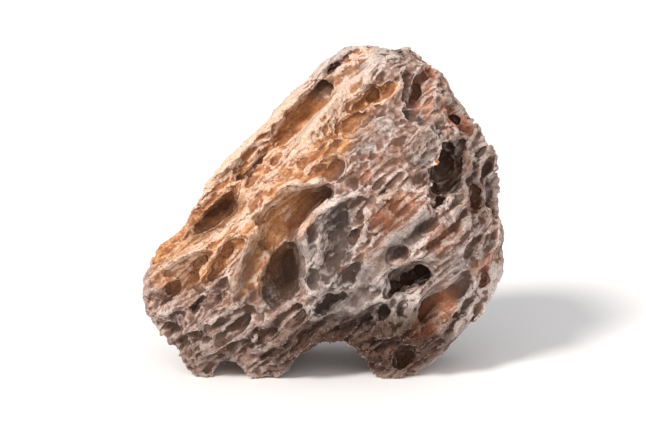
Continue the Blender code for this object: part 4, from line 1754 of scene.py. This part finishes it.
@dataclass
class StoneShader(Graph):
    """Builds the stone's material from its finish."""

    finish: ClayStoneFinish
    place: Any = field(init=False)
    waves: dict[str, Any] = field(init=False)

    def build(self) -> bpy.types.Material:
        """Makes the material.

        Returns:
            The material, ready to put on the stone.
        """
        look = self.finish
        material = bpy.data.materials.new(look.name)
        material.use_nodes = True
        self.tree = material.node_tree
        self.tree.nodes.clear()
        self.place = self.add(Kind.OBJECT_PLACE)
        turned = self.add(Kind.TURN, self.place, (0, 1, 0), GRAIN_ANGLE)
        grain = self.add(Kind.MAPPING, turned, look.grain_stretch)
        self.waves = {}
        for name, wave in vars(look).items():
            if isinstance(wave, Wave):
                vector, scale = grain if wave.along else self.place, 1 / (wave.size * MM)
                made = self.add(Kind.NOISE, vector, scale, wave.detail, wave.roughness)
                self.waves[name] = made
        shader = self.add(Kind.SHADER, self.colour(), look.roughness, self.bump(), look.specular)
        self.add(Kind.SURFACE, shader)
        return material

    def frayed(self, mark: Mark, wave: Any, fray: float) -> Any:
        """A mark whose soft edge is broken up by this noise.

        Args:
            mark: which mark it is.
            wave: output socket of the noise.
            fray: how far the noise moves the edge.

        Returns:
            Output socket of the mark, 0 to 1.
        """
        here = self.add(Kind.MEASURE, attribute_name=mark.value)
        jog = self.add(Kind.MULTIPLY, self.add(Kind.SUBTRACT, wave, 0.5), fray * 2)
        ragged = self.add(Kind.SPAN, self.add(Kind.ADD, here, jog), *self.finish.fray_span)
        return self.add(Kind.MULTIPLY, ragged, self.add(Kind.SPAN, here, *self.finish.fray_reach))

    def colour(self) -> Any:
        """The stone's colour, layer on layer.

        Returns:
            Output socket of the finished colour.
        """
        look, waves = self.finish, self.waves
        near, wide, open_air = (
            self.add(Kind.MEASURE, attribute_name=name)
            for name in ("near_relief", "wide_relief", "openness")
        )
        clay, rust, gloom, dirt, crest = (
            self.add(Kind.MEASURE, attribute_name=mark.value)
            for mark in (Mark.CLAY, Mark.RUST, Mark.PAINTED_SHADE, Mark.DIRT_AND_SHADE, Mark.CREST)
        )
        mottle = self.add(Kind.SPAN, waves["mottle"], *look.mottle_span)
        streak = self.add(Kind.SPAN, waves["streak"], *look.mottle_span)
        colour = self.add(Kind.MIX, mottle, look.rock_dark, look.rock_light)
        for mark, shade, dark, light, share in (
            (Mark.GREY, mottle, look.grey_dark, look.grey_light, 1.0),
            (Mark.CLAY, streak, look.clay_dark, look.clay_light, 1.0),
            (Mark.RUST, mottle, look.rust_dark, look.rust_light, look.rust_share),
        ):
            edge = self.frayed(mark, waves[mark.value + "_fray"], look.fray)
            cover = self.add(Kind.MULTIPLY, edge, share)
            colour = self.add(Kind.MIX, cover, colour, self.add(Kind.MIX, shade, dark, light))
        # ribs and edges are rubbed pale
        worn = self.add(Kind.MIX, clay, look.worn_cool, look.worn_warm)
        broken = self.add(Kind.SPAN, waves["broken"], *look.broken_span)
        rub = self.add(Kind.MULTIPLY, self.add(Kind.SPAN, near, *look.rub_relief), broken)
        pale_edge = self.frayed(Mark.PALE, waves["pale_fray"], look.pale_fray_share)
        pale = self.add(Kind.MULTIPLY, pale_edge, self.add(Kind.SPAN, near, *look.pale_relief))
        for cover, share in (
            (rub, look.rub_share),
            (self.add(Kind.MULTIPLY, crest, broken), look.crest_share),
            (pale, look.pale_share),
        ):
            colour = self.add(Kind.MIX, self.add(Kind.MULTIPLY, cover, share), colour, worn)
        # painted shade: creases and hollows are darker, and the foot and the floors of hollows
        # darker still
        stained = self.add(Kind.MAXIMUM, clay, rust)
        # painted shade in creases, warmer where clay or rust lies
        crease_shade = self.add(Kind.MIX, stained, look.grit_and_shade_dark, look.crease_shade_dark)
        for cover, relief, span, kept, over, blend in (
            (near, look.crack_relief, look.crack_cover, stained, crease_shade, "MIX"),
            (wide, look.hollow_relief, look.hollow_cover, clay, look.gloom, "MULTIPLY"),
        ):
            depth = self.add(Kind.SPAN, cover, *relief)
            share = self.add(Kind.MULTIPLY, depth, self.add(Kind.SPAN, kept, *span))
            colour = self.add(Kind.MIX, share, colour, over, blend_type=blend)
        # painted shade where the mark lies: the foot, the shadowed pool and the floors of hollows
        colour = self.add(Kind.MIX, gloom, colour, look.gloom, blend_type="MULTIPLY")
        colour = self.grit(colour, near)
        colour = self.add(Kind.MIX, self.hairlines(), colour, look.grit_and_shade_dark)
        # painted shade darkens shut-in places, and the marked hollows and foot take earth and
        # painted shade, both in one dark earth colour
        shut = self.add(Kind.SPAN, open_air, *look.shut_air)
        held = self.add(Kind.MULTIPLY, dirt, self.add(Kind.SPAN, open_air, *look.dirt_and_shade_air))
        for cover, share in ((shut, look.shut_shade_share), (held, look.dirt_and_shade_share)):
            colour = self.add(Kind.MIX, self.add(Kind.MULTIPLY, cover, share), colour, look.soil_and_shade)
        return colour

    def hairlines(self) -> Any:
        """Where fine dark cracks run along the grain, and where they fade.

        Returns:
            Output socket of how strongly a crack shows, 0 to 1.
        """
        look, waves = self.finish, self.waves
        gap = self.add(Kind.ABSOLUTE, self.add(Kind.SUBTRACT, waves["hairline"], 0.5))
        line = self.add(Kind.SPAN, gap, *look.hairline_span)
        shown = self.add(Kind.SPAN, waves["hairline_place"], *look.hairline_shown)
        return self.add(Kind.MULTIPLY, self.add(Kind.MULTIPLY, line, shown), look.hairline_share)

    def grit(self, colour: Any, near: Any) -> Any:
        """Speckles the colour with grains, dark ones all over and pale ones off the hollows.

        Args:
            colour: output socket of the colour so far.
            near: output socket of how far the point stands out of its near surroundings.

        Returns:
            Output socket of the speckled colour.
        """
        look, fine = self.finish, self.waves["grit"]
        dark = self.add(Kind.SPAN, fine, *look.grit_span)
        colour = self.add(Kind.MIX, dark, colour, look.grit_and_shade_dark)
        pale = self.add(Kind.SPAN, fine, *look.pale_grit_span)
        raised = self.add(Kind.SPAN, near, *look.pale_grit_relief)
        return self.add(Kind.MIX, self.add(Kind.MULTIPLY, pale, raised), colour, look.worn_cool)

    def bump(self) -> Any:
        """Grit, small pits and hair-thin layers that are too fine for the mesh.

        Returns:
            Output socket of the bumpy normal.
        """
        look, waves = self.finish, self.waves
        pits = self.add(Kind.CELLS, self.place, 1 / (look.pit_size * MM))
        layers = self.add(Kind.MULTIPLY, waves["layer_bump"], look.layer_height)
        height = self.add(Kind.MULTIPLY_ADD, waves["grit_bump"], look.grit_height, layers)
        height = self.add(Kind.MULTIPLY_ADD, pits, look.pit_height, height)
        return self.add(Kind.BUMP, 1.0, look.bump_depth * MM, height)


# ---- The studio ----


@dataclass(frozen=True)
class Light:
    """A broad, far light that looks at the stone: where it stands, its spread in degrees, which
    softens the shadows, its strength, and its tint."""

    name: str
    place: tuple[float, float, float]
    spread: float
    strength: float
    tint: str

    def build(self) -> None:
        """Makes the light."""
        lamp = add_object(bpy.ops.object.light_add, self.name, type="SUN", location=self.place)
        lamp.data.angle = math.radians(self.spread)
        lamp.data.energy = self.strength
        lamp.data.color = linear(self.tint)[:3]
        lamp.rotation_euler = (-Vector(self.place)).to_track_quat("-Z", "Y").to_euler()


@dataclass(frozen=True)
class PaperFinish:
    """Matt paper: an even, pale sheet that gives next to no reflection."""

    name: str = "matt_paper"
    colour: str = "f2f3f5"
    roughness: float = 0.7
    specular: float = 0.2


@dataclass
class Studio:
    """A plain pale floor, a white sky, two soft lights and the camera."""

    floor_size: float = 4.0
    paper: PaperFinish = PaperFinish()
    sky_hex: str = "ffffff"
    sky_strength: float = 0.52
    lights: tuple[Light, ...] = (
        Light("key", (-0.7, -0.9, 0.95), 14.0, 3.2, "fff9f2"),
        Light("front", (0.1, -1.0, 0.5), 60.0, 1.35, "fff6ef"),
    )
    lens: float = 135.0
    camera_distance: float = 1.42
    camera_height: float = 12.0
    aim: tuple[float, float] = (0.0, 0.0905)

    def build(self) -> None:
        """Makes everything that isn't the stone."""
        self.make_floor()
        self.make_sky()
        for light in self.lights:
            light.build()
        self.make_camera()

    def make_floor(self) -> None:
        """A plain flat sheet under the stone."""
        sheet = bpy.ops.mesh.primitive_plane_add
        floor = add_object(sheet, "studio_floor", size=self.floor_size, location=(0, 0, 0))
        material = bpy.data.materials.new(self.paper.name)
        material.use_nodes = True
        sockets = material.node_tree.nodes["Principled BSDF"].inputs
        sockets["Base Color"].default_value = linear(self.paper.colour)
        sockets["Roughness"].default_value = self.paper.roughness
        sockets["Specular IOR Level"].default_value = self.paper.specular
        floor.data.materials.append(material)

    def make_sky(self) -> None:
        """An even white surround."""
        world = bpy.data.worlds.new("white_room")
        world.use_nodes = True
        sockets = world.node_tree.nodes["Background"].inputs
        sockets["Color"].default_value = linear(self.sky_hex)
        sockets["Strength"].default_value = self.sky_strength
        bpy.context.scene.world = world

    def make_camera(self) -> None:
        """A long lens, a little above the stone, square to its face."""
        tilt = math.radians(self.camera_height)
        back = Vector((0, -math.cos(tilt), math.sin(tilt)))
        aim = Vector((self.aim[0], 0, self.aim[1]))
        place = aim + back * self.camera_distance
        camera = add_object(bpy.ops.object.camera_add, "studio_camera", location=place)
        camera.rotation_euler = (-back).to_track_quat("-Z", "Y").to_euler()
        camera.data.lens = self.lens
        bpy.context.scene.camera = camera
        bpy.context.scene.view_settings.view_transform = "Standard"


def main() -> None:
    """Builds the stone and its studio, in order."""
    logging.basicConfig(level=logging.INFO, format="%(name)s: %(message)s")
    noise.seed_set(NOISE_SEED)
    stone = WeatheredStone().build()
    stone.data.materials.append(StoneShader(ClayStoneFinish()).build())
    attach(stone, BODY)
    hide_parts(NODE)
    Studio().build()
    LOG.info("studio ready")


if __name__ == "__main__":
    main()
